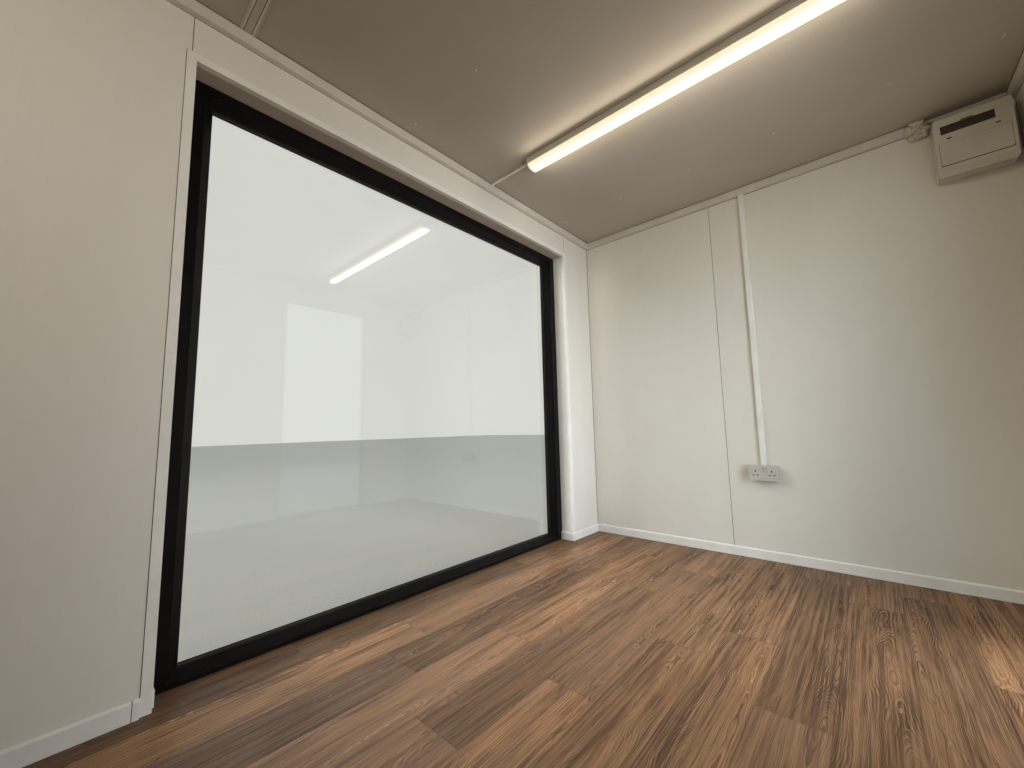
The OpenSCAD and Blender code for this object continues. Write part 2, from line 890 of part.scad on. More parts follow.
module window_glass() {
    color([0.75, 0.85, 0.85, 0.35]) {
        window_slab(glass_back, pane_t, glass_inset);
        window_slab(glass_back + pane_t + pane_gap, pane_t, glass_inset);
    }
}

// The spacer that keeps the panes apart, just outside the sight line
module glass_spacer() {
    spacer_y = glass_back + pane_t;
    color("dimgray")
        difference() {
            window_slab(spacer_y, pane_gap, glass_inset);
            window_slab(spacer_y - overrun, pane_gap + 2 * overrun, frame_bar + bead_w);
        }
}

module recess_jamb_boards() {
    color("white") {
        block([win_x0 - reveal_t, -half_w, deck_top],
            [win_x0, -room_y, win_top + reveal_t]);
        block([win_x1, -half_w, deck_top],
            [win_x1 + reveal_t, -room_y, win_top + reveal_t]);
    }
}

module recess_head_board() {
    color("white")
        block([win_x0, -half_w, win_top], [win_x1, -room_y, win_top + reveal_t]);
}

// One angle on a jamb: a leg on the wall's face and a leg in the recess
module jamb_angle(x, outwards) {
    low = floor_z;
    high = win_top + angle_leg;
    wall_leg = outwards * angle_leg;
    block([min(x, x + wall_leg), -room_y, low],
        [max(x, x + wall_leg), -room_y + angle_t, high]);
    block([min(x, x - outwards * angle_t), -room_y - angle_leg + angle_t, low],
        [max(x, x - outwards * angle_t), -room_y + angle_t, win_top]);
}

module corner_angles() {
    color("white") {
        difference() {
            jamb_angle(win_x0, -1);
            block([win_x0 - angle_leg - overrun, -half_w, floor_z - overrun],
                [win_x0 + skirting_t, room_y, floor_z + skirting_h]);
        }
        jamb_angle(win_x1, 1);
        block([win_x0, -room_y, win_top],
            [win_x1, -room_y + angle_t, win_top + angle_leg]);
        block([win_x0, -room_y - angle_leg + angle_t, win_top - angle_t],
            [win_x1, -room_y + angle_t, win_top]);
    }
}

// Fittings

light_xs = [-room_x + light_from_end, room_x - light_from_end];
light_y0 = -room_y + light_from_window;

module cable_trunking() {
    box_top = floor_z + socket_z + socket_h / 2;
    color("white") {
        for (x = light_xs)
            block([x - feed_w / 2, -room_y + cove_d, ceiling_z - feed_d],
                [x + feed_w / 2, light_y0, ceiling_z]);
        translate([0, -room_y + socket_x, 0])
            block([-room_x, -drop_w / 2, box_top],
                [-room_x + drop_d, drop_w / 2, ceiling_z - cove_h]);
    }
}

// A plate with round corners on the fitted end wall, drawn across and up from its middle
module wall_plate(w, h, depth, r, back) {
    translate([-room_x + back, 0, 0])
        rotate([90, 0, 90])
        linear_extrude(depth)
        union() {
            for (sx = [-1, 1], sy = [-1, 1])
                translate([sx * (w / 2 - r), sy * (h / 2 - r)]) circle(r);
            square([w - 2 * r, h], center = true);
            square([w, h - 2 * r], center = true);
        }
}

// A square pocket into the socket plate, at a place across and up from its middle
module pin_hole(across, up, w, h) {
    front = -room_x + socket_box_d + socket_plate_t;
    block([front - pin_hole_d, across - w / 2, up - h / 2],
        [front + overrun, across + w / 2, up + h / 2]);
}

module at_socket() {
    translate([0, -room_y + socket_x, floor_z + socket_z]) children();
}

module socket_box() {
    color("white") at_socket() wall_plate(socket_w, socket_h, socket_box_d, socket_r, 0);
}

module socket_plate() {
    rocker_depth = socket_plate_t - pin_hole_d / 2;
    color("white")
        at_socket()
            difference() {
                wall_plate(socket_w, socket_h, socket_plate_t, socket_r, socket_box_d);
                for (s = [-1, 1]) {
                    pin_hole(s * outlet_x, earth_rise / 2, earth_w, earth_h);
                    pin_hole(s * outlet_x - live_pitch / 2, -earth_rise / 2, live_w, live_h);
                    pin_hole(s * outlet_x + live_pitch / 2, -earth_rise / 2, live_w, live_h);
                    translate([-room_x + socket_box_d + rocker_depth, 0, rocker_rise])
                        block([0, s * rocker_x - rocker_w / 2, -rocker_h / 2],
                            [socket_plate_t, s * rocker_x + rocker_w / 2, rocker_h / 2]);
                }
            }
}

module socket_rockers() {
    rocker_depth = socket_plate_t - pin_hole_d / 2;
    back = -room_x + socket_box_d + rocker_depth;
    front = -room_x + socket_box_d + socket_plate_t + rocker_out;
    color("white")
        at_socket()
            translate([0, 0, rocker_rise])
            for (s = [-1, 1])
                block([back, s * rocker_x - rocker_w / 2, -rocker_h / 2],
                    [front, s * rocker_x + rocker_w / 2, rocker_h / 2]);
}

module light_bodies() {
    color("white")
        for (x = light_xs)
            block([x - light_w / 2, light_y0, ceiling_z - light_body_h],
                [x + light_w / 2, light_y0 + light_l, ceiling_z]);
}

// A diffuser with a rounded lower face, under its body
module light_diffusers() {
    drop = light_d - light_body_h;
    color("lightyellow")
        for (x = light_xs)
            translate([x, light_y0, ceiling_z - light_body_h])
                rotate([-90, 0, 0])
                linear_extrude(light_l)
                intersection() {
                    translate([-light_w / 2, 0]) square([light_w, drop]);
                    scale([light_w / 2, drop]) circle(diffuser_bulge);
                }
}

module at_unit() {
    translate([0, (unit_y0 + unit_y1) / 2, unit_top - unit_h / 2]) children();
}

breaker_mid_z = unit_h / 2 - breaker_drop - breaker_h / 2;
flap_mid_z = unit_h / 2 - breaker_drop - breaker_h - flap_drop - flap_h / 2;

module consumer_unit_box() {
    color("white") at_unit() wall_plate(unit_w, unit_h, unit_box_d, unit_r, 0);
}

module consumer_unit_cover() {
    front = -room_x + unit_box_d + unit_cover_d;
    color("white")
        at_unit()
            difference() {
                wall_plate(unit_w, unit_h, unit_cover_d, unit_r, unit_box_d);
                translate([0, breaker_side, breaker_mid_z])
                    block([front - unit_cover_d / 2, -breaker_w / 2, -breaker_h / 2],
                        [front + overrun, breaker_w / 2, breaker_h / 2]);
            }
}

module consumer_unit_flap() {
    color("white")
        at_unit()
            translate([0, 0, flap_mid_z])
            wall_plate(flap_w, flap_h, flap_out, unit_r, unit_box_d + unit_cover_d);
}

module breaker_row() {
    front = -room_x + unit_box_d + unit_cover_d;
    color("dimgray")
        at_unit()
            translate([0, breaker_side, breaker_mid_z])
            block([front - unit_cover_d / 2, -breaker_w / 2, -breaker_h / 2],
                [front - breaker_back, breaker_w / 2, breaker_h / 2]);
}

// The taped bundle where the corner trunking's cables turn down to the consumer unit
module taped_cable_entry() {
    color("white")
        block([-room_x, wrap_y - wrap_w / 2, ceiling_z - wrap_h],
            [-room_x + wrap_d, wrap_y + wrap_w / 2, ceiling_z]);
}

// Door

door_gap_w = door_w + 2 * frame_reach;
door_gap_h = 2 * (door_out_top - deck_top);

// A bar of the door frame, from the room face outwards, with the stop on its room side
module door_frame_bar(side) {
    stop_d = frame_proud_in + side_build - leaf_t - leaf_gap;
    translate([(door_x0 + door_x1) / 2, room_y - frame_proud_in, deck_top])
        mirror([0, 1, 0])
        mitred_bar(door_gap_w, door_gap_h, side, frame_reach,
            [[0, 0], [frame_reach, 0], [frame_reach, stop_d],
            [door_frame_face, stop_d], [door_frame_face, door_frame_d], [0, door_frame_d]]);
}

module door_frame_jambs() {
    color("whitesmoke")
        intersection() {
            for (side = [1, 3]) door_frame_bar(side);
            block([-body_l, 0, deck_top], [body_l, body_w, body_h]);
        }
}

module door_frame_head() {
    color("whitesmoke") door_frame_bar(2);
}

module door_threshold() {
    color("silver")
        block([door_x0, room_y, deck_top], [door_x1, half_w, threshold_top]);
}

// Points below are about the hinge pin with the door shut: the leaf is towards -X and
// its outer face at y = -hinge_out.

plate_y = -hinge_out + frame_proud_out;

module frame_hinges() {
    reach = leaf_gap / 2 + door_frame_face;
    color("silver")
        for (z = hinge_zs)
            translate([hinge_x, hinge_y, z]) {
                cylinder(h = knuckle_h, r = knuckle_r);
                cylinder(h = 2 * knuckle_h, r = pin_r);
                linear_extrude(knuckle_h)
                    polygon([[leaf_gap, plate_y], [reach, plate_y],
                        [reach, plate_y + hinge_plate], [knuckle_r, plate_y + hinge_plate],
                        [0, knuckle_r / 2], [-knuckle_r / 2, -knuckle_r / 2]]);
            }
}

// Turns a piece drawn with the door shut to the open door of the rest pose
module on_open_door() {
    translate([hinge_x, hinge_y, 0]) rotate([0, 0, -door_open_angle]) children();
}

module door_leaf() {
    leaf_x1 = -leaf_gap / 2;
    leaf_x0 = leaf_x1 - leaf_w;
    leaf_y0 = -hinge_out - leaf_t;
    color("whitesmoke")
        on_open_door()
            difference() {
                block([leaf_x0, leaf_y0, leaf_z0], [leaf_x1, -hinge_out, leaf_z1]);
                block([leaf_x0 + leaf_skin, leaf_y0 + leaf_skin, leaf_z0 + leaf_skin],
                    [leaf_x1 - leaf_skin, -hinge_out - leaf_skin, leaf_z1 - leaf_skin]);
            }
}

module leaf_hinges() {
    color("silver")
        on_open_door()
            for (z = hinge_zs)
                translate([0, 0, z + knuckle_h + knuckle_gap])
                    difference() {
                        union() {
                            cylinder(h = knuckle_h, r = knuckle_r);
                            linear_extrude(knuckle_h)
                                polygon([[-strap_l, -hinge_out], [-knuckle_r, -hinge_out],
                                    [knuckle_r / 2, -knuckle_r / 2],
                                    [-knuckle_r / 2, knuckle_r / 2],
                                    [-knuckle_r - hinge_plate, -hinge_out + hinge_plate],
                                    [-strap_l, -hinge_out + hinge_plate]]);
                        }
                        translate([0, 0, -overrun])
                            cylinder(h = knuckle_h + 2 * overrun, r = pin_r + pin_play);
                    }
}

// Plate, neck and lever on one face, drawn out from y = 0
module lever_set() {
    block([-handle_plate_w / 2, 0, -handle_plate_h / 2],
        [handle_plate_w / 2, handle_plate_t, handle_plate_h / 2]);
    rotate([-90, 0, 0]) cylinder(h = lever_out, r = neck_r);
    translate([-lever_r, lever_out, 0])
        rotate([0, 90, 0])
        cylinder(h = lever_l, r = lever_r);
}

module door_handles() {
    handle_x = -leaf_gap / 2 - leaf_w + handle_inset;
    color("silver")
        on_open_door()
            translate([handle_x, 0, floor_z + handle_z]) {
                translate([0, -hinge_out, 0]) lever_set();
                translate([0, -hinge_out - leaf_t, 0]) mirror([0, 1, 0]) lever_set();
            }
}

base_rails();
floor_cross_members();
corner_castings();
corner_posts();
top_rails();
roof_sheet();
window_wall_cladding();
door_wall_cladding();
header_cladding();
end_wall_cladding();
floor_deck();
vinyl_floor();
window_wall_lining();
door_wall_lining();
header_lining();
end_wall_lining();
ceiling_battens();
ceiling_panels();
ceiling_joint_strips();
ceiling_trunking_sides();
ceiling_trunking_ends();
skirting_sides();
skirting_ends();
window_surround_jambs();
window_surround_rails();
window_frame_jambs();
window_frame_rails();
glazing_beads();
window_glass();
glass_spacer();
recess_jamb_boards();
recess_head_board();
corner_angles();
cable_trunking();
socket_box();
socket_plate();
socket_rockers();
light_bodies();
light_diffusers();
consumer_unit_box();
consumer_unit_cover();
consumer_unit_flap();
breaker_row();
taped_cable_entry();
door_frame_jambs();
door_frame_head();
door_threshold();
frame_hinges();
door_leaf();
leaf_hinges();
door_handles();
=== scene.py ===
import json
import math

import bmesh
import bpy
from mathutils import Matrix, Vector, noise

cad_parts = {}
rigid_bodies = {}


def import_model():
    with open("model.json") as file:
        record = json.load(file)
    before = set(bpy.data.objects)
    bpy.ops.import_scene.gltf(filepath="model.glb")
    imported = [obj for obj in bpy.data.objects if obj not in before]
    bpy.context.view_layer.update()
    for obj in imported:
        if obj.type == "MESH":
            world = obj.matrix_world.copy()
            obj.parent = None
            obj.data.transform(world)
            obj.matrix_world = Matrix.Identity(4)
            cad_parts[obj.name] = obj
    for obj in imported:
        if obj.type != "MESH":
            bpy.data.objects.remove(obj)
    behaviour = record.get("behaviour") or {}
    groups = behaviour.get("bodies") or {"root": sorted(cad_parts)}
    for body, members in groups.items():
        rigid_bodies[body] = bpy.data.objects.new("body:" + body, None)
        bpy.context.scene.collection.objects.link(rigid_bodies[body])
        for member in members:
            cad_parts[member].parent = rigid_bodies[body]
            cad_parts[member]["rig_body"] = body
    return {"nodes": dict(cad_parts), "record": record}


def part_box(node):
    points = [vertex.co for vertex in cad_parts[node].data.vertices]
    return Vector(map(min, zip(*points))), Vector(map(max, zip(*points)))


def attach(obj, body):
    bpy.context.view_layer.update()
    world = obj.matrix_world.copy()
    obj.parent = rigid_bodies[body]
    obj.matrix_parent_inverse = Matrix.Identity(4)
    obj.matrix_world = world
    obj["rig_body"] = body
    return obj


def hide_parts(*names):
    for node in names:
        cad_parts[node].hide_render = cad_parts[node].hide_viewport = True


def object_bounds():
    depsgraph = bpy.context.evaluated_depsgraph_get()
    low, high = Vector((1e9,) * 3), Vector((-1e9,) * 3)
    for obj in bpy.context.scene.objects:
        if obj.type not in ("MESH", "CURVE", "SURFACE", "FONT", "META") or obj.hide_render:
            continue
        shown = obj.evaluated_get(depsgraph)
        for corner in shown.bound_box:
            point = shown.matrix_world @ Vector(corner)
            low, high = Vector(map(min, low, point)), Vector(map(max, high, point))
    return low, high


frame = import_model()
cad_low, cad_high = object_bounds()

# The portable site cabin. X runs along it, Y across it and Z up from the ground, in metres.
# The window wall is on -Y, the door wall on +Y and the fitted end wall on -X.

END_WALL_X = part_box("vinyl_floor")[0].x
FLOOR_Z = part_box("vinyl_floor")[1].z
CEILING_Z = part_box("ceiling_panels")[0].z
WALL_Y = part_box("skirting_ends")[1].y
HALF_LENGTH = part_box("corner_castings")[1].x
HALF_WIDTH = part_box("corner_castings")[1].y


# Camera: the photograph's place, direction and very wide lens

EYE = Vector((-0.1236, 0.5016, 0.9698))
HEADING, RISE, LEAN = 131.54, 6.197, -1.238
SENSOR_WIDTH, LENS_LENGTH = 36.0, 14.095

lens = bpy.data.cameras.new("photo_camera")
lens.sensor_width = SENSOR_WIDTH
lens.lens = LENS_LENGTH
lens.clip_start = 0.02
lens.clip_end = 200
camera = bpy.data.objects.new("photo_camera", lens)
bpy.context.scene.collection.objects.link(camera)
camera.matrix_world = (Matrix.Translation(EYE) @ Matrix.Rotation(math.radians(HEADING), 4, "Z")
                       @ Matrix.Rotation(math.radians(90 + RISE), 4, "X")
                       @ Matrix.Rotation(math.radians(LEAN), 4, "Z"))
bpy.context.scene.camera = camera
bpy.context.scene.view_settings.view_transform = "Standard"


# Shader wiring


def paint(red, green, blue):
    """A colour as read off a paint card, 0 to 255, in the linear light that shaders use."""
    shares = [c / 255 for c in (red, green, blue)]
    return (*[s / 12.92 if s < 0.04045 else ((s + 0.055) / 1.055) ** 2.4 for s in shares], 1.0)


class Wiring:
    """Lays nodes in one shader tree and joins them up."""

    def __init__(self, tree):
        self.tree = tree

    def feed(self, socket, value):
        if isinstance(value, bpy.types.NodeSocket):
            self.tree.links.new(value, socket)
        elif value is not None:
            socket.default_value = value

    def add(self, kind, sockets, **settings):
        node = self.tree.nodes.new("ShaderNode" + kind)
        for name, value in settings.items():
            setattr(node, name, value)
        for key, value in sockets.items():
            self.feed(node.inputs[key], value)
        return node

    def maths(self, kind, *values, clamp=False):
        return self.add("Math", dict(enumerate(values)), operation=kind, use_clamp=clamp).outputs[0]

    def plus(self, one, two):
        return self.maths("ADD", one, two)

    def minus(self, one, two):
        return self.maths("SUBTRACT", one, two)

    def times(self, one, two):
        return self.maths("MULTIPLY", one, two)

    def swing(self, share, width):
        """Turns a share from 0 to 1 into a shift to either side, over a width."""
        return self.times(self.minus(share, 0.5), width)

    def vector(self, kind, *values):
        return self.add("VectorMath", dict(enumerate(values)), operation=kind).outputs[0]

    def scaled(self, vector, amount):
        sockets = {"Vector": vector, "Scale": amount}
        return self.add("VectorMath", sockets, operation="SCALE").outputs[0]

    def stretch(self, place, along_x, along_y, along_z):
        return self.vector("MULTIPLY", place, (along_x, along_y, along_z))

    def parts(self, vector):
        return self.add("SeparateXYZ", {0: vector}).outputs

    def join(self, x, y, z):
        return self.add("CombineXYZ", {0: x, 1: y, 2: z}).outputs[0]

    def grain(self, place, scale, detail, roughness=0.5, distortion=0.0):
        node = self.add("TexNoise", {"Vector": place, "Scale": scale, "Detail": detail,
                                     "Roughness": roughness, "Distortion": distortion})
        return node.outputs[0]

    def chance(self, place):
        return self.add("TexWhiteNoise", {"Vector": place}, noise_dimensions="3D").outputs

    def between(self, value, low, high, start=0.0, end=1.0):
        node = self.add("MapRange", {0: value, 1: low, 2: high, 3: start, 4: end},
                        interpolation_type="SMOOTHSTEP", clamp=True)
        return node.outputs[0]

    def blend(self, share, first, second):
        return self.add("Mix", {0: share, 6: first, 7: second}, data_type="RGBA").outputs[2]

    def use(self, effect, sockets):
        node = self.tree.nodes.new("ShaderNodeGroup")
        node.node_tree = effect
        for name, value in sockets.items():
            self.feed(node.inputs[name], value)
        return node.outputs


def effect(name, takes, gives, lay_out):
    """A shared shader effect, with its inputs and outputs named."""
    tree = bpy.data.node_groups.new(name, "ShaderNodeTree")
    for socket, kind, value in takes:
        made = tree.interface.new_socket(socket, in_out="INPUT", socket_type="NodeSocket" + kind)
        made.default_value = value
    for socket, kind in gives:
        tree.interface.new_socket(socket, in_out="OUTPUT", socket_type="NodeSocket" + kind)
    wiring = Wiring(tree)
    taken = tree.nodes.new("NodeGroupInput").outputs
    given = tree.nodes.new("NodeGroupOutput").inputs
    for socket, value in lay_out(wiring, taken).items():
        wiring.feed(given[socket], value)
    return tree


def finish(name, lay_out, roughness=0.5, **plain):
    """A material. lay_out says what feeds the shader, and plain sets its other sockets."""
    material = bpy.data.materials.new(name)
    material.use_nodes = True
    wiring = Wiring(material.node_tree)
    shader = material.node_tree.nodes["Principled BSDF"]
    shader.inputs["Roughness"].default_value = roughness
    for socket, value in plain.items():
        shader.inputs[socket.replace("_", " ").title().replace("Ior", "IOR")].default_value = value
    place = wiring.add("TexCoord", {}).outputs["Object"]
    fed = lay_out(wiring, place)
    if "Height" in fed:
        height, distance, strength = fed.pop("Height")
        bump = wiring.add("Bump", {"Height": height, "Distance": distance, "Strength": strength})
        fed["Normal"] = bump.outputs[0]
    for socket, value in fed.items():
        wiring.feed(shader.inputs[socket], value)
    return material


# Effects that several finishes share


def lay_edge_wear(w, taken):
    """A chipped mask along the edges of a box, from the second least distance to its faces."""
    from_middle = w.vector("ABSOLUTE", w.vector("SUBTRACT", taken["Place"], taken["Middle"]))
    to_faces = w.parts(w.vector("ABSOLUTE", w.vector("SUBTRACT", taken["Half Size"], from_middle)))
    least = w.maths("MINIMUM", w.maths("MINIMUM", to_faces[0], to_faces[1]), to_faces[2])
    most = w.maths("MAXIMUM", w.maths("MAXIMUM", to_faces[0], to_faces[1]), to_faces[2])
    total = w.plus(w.plus(to_faces[0], to_faces[1]), to_faces[2])
    to_edge = w.minus(w.minus(total, least), most)
    chips = w.grain(taken["Place"], 45.0, 5.0, 0.65)
    patches = w.grain(taken["Place"], 6.0, 2.0)
    reach = w.times(taken["Width"], w.between(chips, 0.42, 0.72, -0.1, 1.6))
    reach = w.times(reach, w.between(patches, 0.45, 0.70, 0.05, 0.9))
    return {"Mask": w.between(w.minus(reach, to_edge), 0.0, 0.0006)}


EDGE_WEAR = effect(
    "edge_wear",
    [("Place", "Vector", (0, 0, 0)), ("Middle", "Vector", (0, 0, 0)),
     ("Half Size", "Vector", (1, 1, 1)), ("Width", "Float", 0.01)],
    [("Mask", "Float")], lay_edge_wear)


def lay_sprayed_paint(w, taken):
    peel = w.grain(taken["Place"], 420.0, 2.0)
    swell = w.grain(taken["Place"], 38.0, 1.0)
    height = w.plus(w.times(peel, 0.55), w.times(swell, 0.45))
    return {"Height": height, "Tone": w.grain(taken["Place"], 1.7, 4.0, 0.6)}


SPRAYED_PAINT = effect(
    "sprayed_paint", [("Place", "Vector", (0, 0, 0))],
    [("Height", "Float"), ("Tone", "Float")], lay_sprayed_paint)


def lay_rain_and_dirt(w, taken):
    up = w.parts(taken["Place"])[2]
    runs = w.grain(w.stretch(taken["Place"], 26.0, 26.0, 0.9), 1.0, 4.0, 0.6)
    rise = w.maths("DIVIDE", w.minus(up, taken["Foot"]), taken["Reach"])
    splash = w.between(rise, 0.0, 1.0, 1.0, 0.0)
    blots = w.grain(taken["Place"], 9.0, 5.0, 0.65)
    dirt = w.times(splash, w.between(blots, 0.3, 0.7, 0.25, 1.0))
    streaks = w.between(runs, 0.56, 0.78, 0.0, 0.5)
    return {"Mask": w.times(w.maths("ADD", dirt, streaks, clamp=True), taken["Amount"])}


RAIN_AND_DIRT = effect(
    "rain_and_dirt",
    [("Place", "Vector", (0, 0, 0)), ("Foot", "Float", 0.0), ("Reach", "Float", 0.5),
     ("Amount", "Float", 0.5)],
    [("Mask", "Float")], lay_rain_and_dirt)


def lay_oak_figure(w, taken):
    """Year rings cut by a plank: nested arches in its middle, fine straight lines at its sides."""
    spread_out, year_base = 41.0, 40.0
    seed = w.parts(taken["Seed"])
    along, across = taken["Along"], taken["Across"]
    flat = w.vector("ADD", w.join(along, across, 0.0), w.scaled(taken["Seed"], spread_out))
    bend = w.grain(w.stretch(flat, 2.8, 8.0, 1.0), 1.0, 2.0, 0.5)
    drift = w.grain(w.stretch(flat, 0.8, 1.5, 1.0), 1.0, 1.0)
    ripple = w.grain(w.stretch(flat, 14.0, 60.0, 1.0), 1.0, 2.0)
    heart = w.swing(seed[0], 0.15)
    sway = w.swing(drift, 0.14)
    side = w.plus(w.plus(across, heart), sway)
    depth = w.plus(0.004, w.times(seed[2], 0.022))
    reach = w.maths("SQRT", w.plus(w.times(side, side), w.times(depth, depth)))
    taper = w.swing(seed[1], 0.14)
    cone = w.plus(reach, w.times(along, taper))
    swirl = w.swing(bend, 0.085)
    flutter = w.swing(ripple, 0.005)
    year = w.maths("DIVIDE", w.plus(w.plus(cone, swirl), flutter), taken["Ring Gap"])
    counted = w.plus(year, year_base)
    share = w.maths("FRACT", counted)
    late = w.times(w.between(share, 0.38, 0.84), w.between(share, 0.87, 1.0, 1.0, 0.0))
    strength = w.chance(w.join(w.maths("FLOOR", counted), seed[0], seed[1]))["Value"]
    rings = w.times(late, w.between(strength, 0.0, 1.0, 0.35, 1.0))
    limed = w.times(w.between(share, 0.06, 0.13), w.between(share, 0.13, 0.22, 1.0, 0.0))
    patchy = w.grain(w.stretch(flat, 5.0, 30.0, 1.0), 1.0, 3.0, 0.6)
    pale = w.times(limed, w.between(patchy, 0.42, 0.66))
    pores = w.grain(w.stretch(flat, 16.0, 700.0, 1.0), 1.0, 3.0, 0.65)
    patches = w.grain(w.stretch(flat, 2.4, 15.0, 1.0), 1.0, 3.0, 0.6, 0.7)
    bands = w.grain(w.join(w.times(year, 0.22), w.times(seed[0], 9.0), w.times(seed[1], 9.0)), 1.0, 2.0)
    figure = w.times(w.plus(patches, bands), 0.5)
    fibres = w.grain(w.stretch(flat, 2.4, 150.0, 1.0), 1.0, 3.0, 0.55)
    return {"Rings": rings, "Pale": pale, "Pores": w.between(pores, 0.46, 0.72), "Cloud": figure,
            "Fibres": w.between(fibres, 0.38, 0.64)}


OAK_FIGURE = effect(
    "oak_figure",
    [("Along", "Float", 0.0), ("Across", "Float", 0.0), ("Seed", "Vector", (0, 0, 0)),
     ("Ring Gap", "Float", 0.006)],
    [("Rings", "Float"), ("Pale", "Float"), ("Pores", "Float"), ("Cloud", "Float"),
     ("Fibres", "Float")], lay_oak_figure)


def lay_handling_marks(w, taken):
    smears = w.grain(taken["Place"], 5.0, 3.0, 0.6, 0.4)
    specks = w.grain(taken["Place"], 130.0, 2.0)
    return {"Smears": w.between(smears, 0.35, 0.7), "Specks": w.between(specks, 0.7, 0.78)}


HANDLING_MARKS = effect(
    "handling_marks", [("Place", "Vector", (0, 0, 0))],
    [("Smears", "Float"), ("Specks", "Float")], lay_handling_marks)


# Finishes


def lay_vinyl_planks(w, place):
    """Printed oak planks that run along the cabin, each with its own start, figure and tone."""
    plank_width, plank_length, first_seam = 0.1755, 1.235, -1.219
    x, y, _ = w.parts(place)
    rows = w.maths("DIVIDE", w.minus(y, first_seam), plank_width)
    row = w.maths("FLOOR", rows)
    across = w.swing(w.maths("FRACT", rows), plank_width)
    start = w.chance(w.join(row, 3.1, 0.7))["Value"]
    lengths = w.plus(w.maths("DIVIDE", x, plank_length), w.times(start, 7.0))
    one = w.maths("FLOOR", lengths)
    along = w.times(w.maths("FRACT", lengths), plank_length)
    seed = w.chance(w.join(row, one, 5.3))["Color"]
    shades = w.parts(w.chance(w.join(one, row, 9.7))["Color"])
    oak = w.use(OAK_FIGURE, {"Along": along, "Across": across, "Seed": seed, "Ring Gap": 0.0047})
    broad = w.blend(w.between(oak["Cloud"], 0.38, 0.62), paint(82, 54, 34), paint(139, 100, 66))
    ground = w.blend(w.times(oak["Fibres"], 0.56), broad, paint(177, 134, 94))
    depth = w.times(oak["Rings"], w.between(oak["Cloud"], 0.36, 0.64, 0.85, 0.55))
    figured = w.blend(depth, ground, paint(58, 40, 27))
    limed = w.blend(w.times(oak["Pale"], 0.75), figured, paint(204, 170, 130))
    pored = w.blend(w.times(oak["Pores"], 0.42), limed, paint(50, 35, 23))
    greyed = w.blend(w.between(shades[0], 0.3, 1.0, 0.0, 0.34), pored, paint(112, 87, 69))
    odd = w.between(w.maths("FRACT", w.times(row, 0.5)), 0.2, 0.3, -0.07, 0.07)
    tone = w.plus(odd, w.between(shades[1], 0.0, 1.0, 0.66, 1.14))
    toned = w.scaled(greyed, tone)
    to_side = w.minus(plank_width / 2, w.maths("ABSOLUTE", across))
    to_end = w.maths("MINIMUM", along, w.minus(plank_length, along))
    seam = w.between(w.maths("MINIMUM", to_side, to_end), 0.0004, 0.0018, 1.0, 0.0)
    marks = w.use(HANDLING_MARKS, {"Place": place})
    colour = w.blend(w.times(seam, 0.65), toned, paint(62, 46, 35))
    height = w.minus(w.times(oak["Pores"], -0.35), w.plus(seam, w.times(oak["Rings"], 0.25)))
    rough = w.plus(0.44, w.plus(w.times(oak["Rings"], 0.07), w.times(marks["Smears"], 0.06)))
    return {"Base Color": colour, "Roughness": rough, "Height": (height, 0.0002, 0.5)}


def lay_wall_board(w, place):
    """Off-white vinyl facing, embossed with fine upright threads."""
    threads = w.grain(w.stretch(place, 300.0, 300.0, 4.0), 1.0, 3.0, 0.55)
    bands = w.grain(w.stretch(place, 9.0, 9.0, 0.8), 1.0, 2.0)
    marks = w.use(HANDLING_MARKS, {"Place": place})
    base = w.blend(w.between(bands, 0.3, 0.7), paint(219, 215, 204), paint(221, 217, 206))
    worn = w.blend(w.between(threads, 0.40, 0.72, 0.0, 0.10), base, paint(206, 201, 188))
    smeared = w.blend(w.times(marks["Smears"], 0.10), worn, paint(206, 198, 180))
    rough = w.plus(0.46, w.times(marks["Smears"], 0.08))
    return {"Base Color": smeared, "Roughness": rough, "Height": (threads, 0.00007, 0.25)}


def lay_ceiling_board(w, place):
    stipple = w.grain(place, 260.0, 3.0, 0.6)
    cloud = w.grain(place, 1.6, 3.0)
    base = w.blend(w.between(cloud, 0.3, 0.7), paint(171, 163, 152), paint(177, 169, 159))
    dusted = w.blend(w.between(stipple, 0.45, 0.7, 0.0, 0.25), base, paint(159, 151, 139))
    return {"Base Color": dusted, "Height": (stipple, 0.0002, 0.35)}


def moulded_white(name, light, shade, roughness, coat=0.0):
    """White plastic or enamel with a faint flow mark and handling smears."""

    def lay(w, place):
        flow = w.grain(place, 7.0, 3.0, 0.55)
        peel = w.grain(place, 520.0, 1.0)
        marks = w.use(HANDLING_MARKS, {"Place": place})
        base = w.blend(w.between(flow, 0.3, 0.7), light, shade)
        marked = w.blend(w.times(marks["Specks"], 0.18), base, paint(150, 143, 130))
        rough = w.plus(roughness, w.times(marks["Smears"], 0.09))
        return {"Base Color": marked, "Roughness": rough, "Height": (peel, 0.00006, 0.4)}

    return finish(name, lay, coat_weight=coat, coat_roughness=0.12)


def lay_black_powder_coat(w, place):
    paint_skin = w.use(SPRAYED_PAINT, {"Place": place})
    marks = w.use(HANDLING_MARKS, {"Place": place})
    base = w.blend(paint_skin["Tone"], paint(7, 7, 8), paint(12, 12, 14))
    dusted = w.blend(w.times(marks["Smears"], 0.05), base, paint(60, 58, 54))
    rough = w.plus(0.36, w.times(marks["Smears"], 0.12))
    return {"Base Color": dusted, "Roughness": rough, "Height": (paint_skin["Height"], 0.00012, 0.5)}


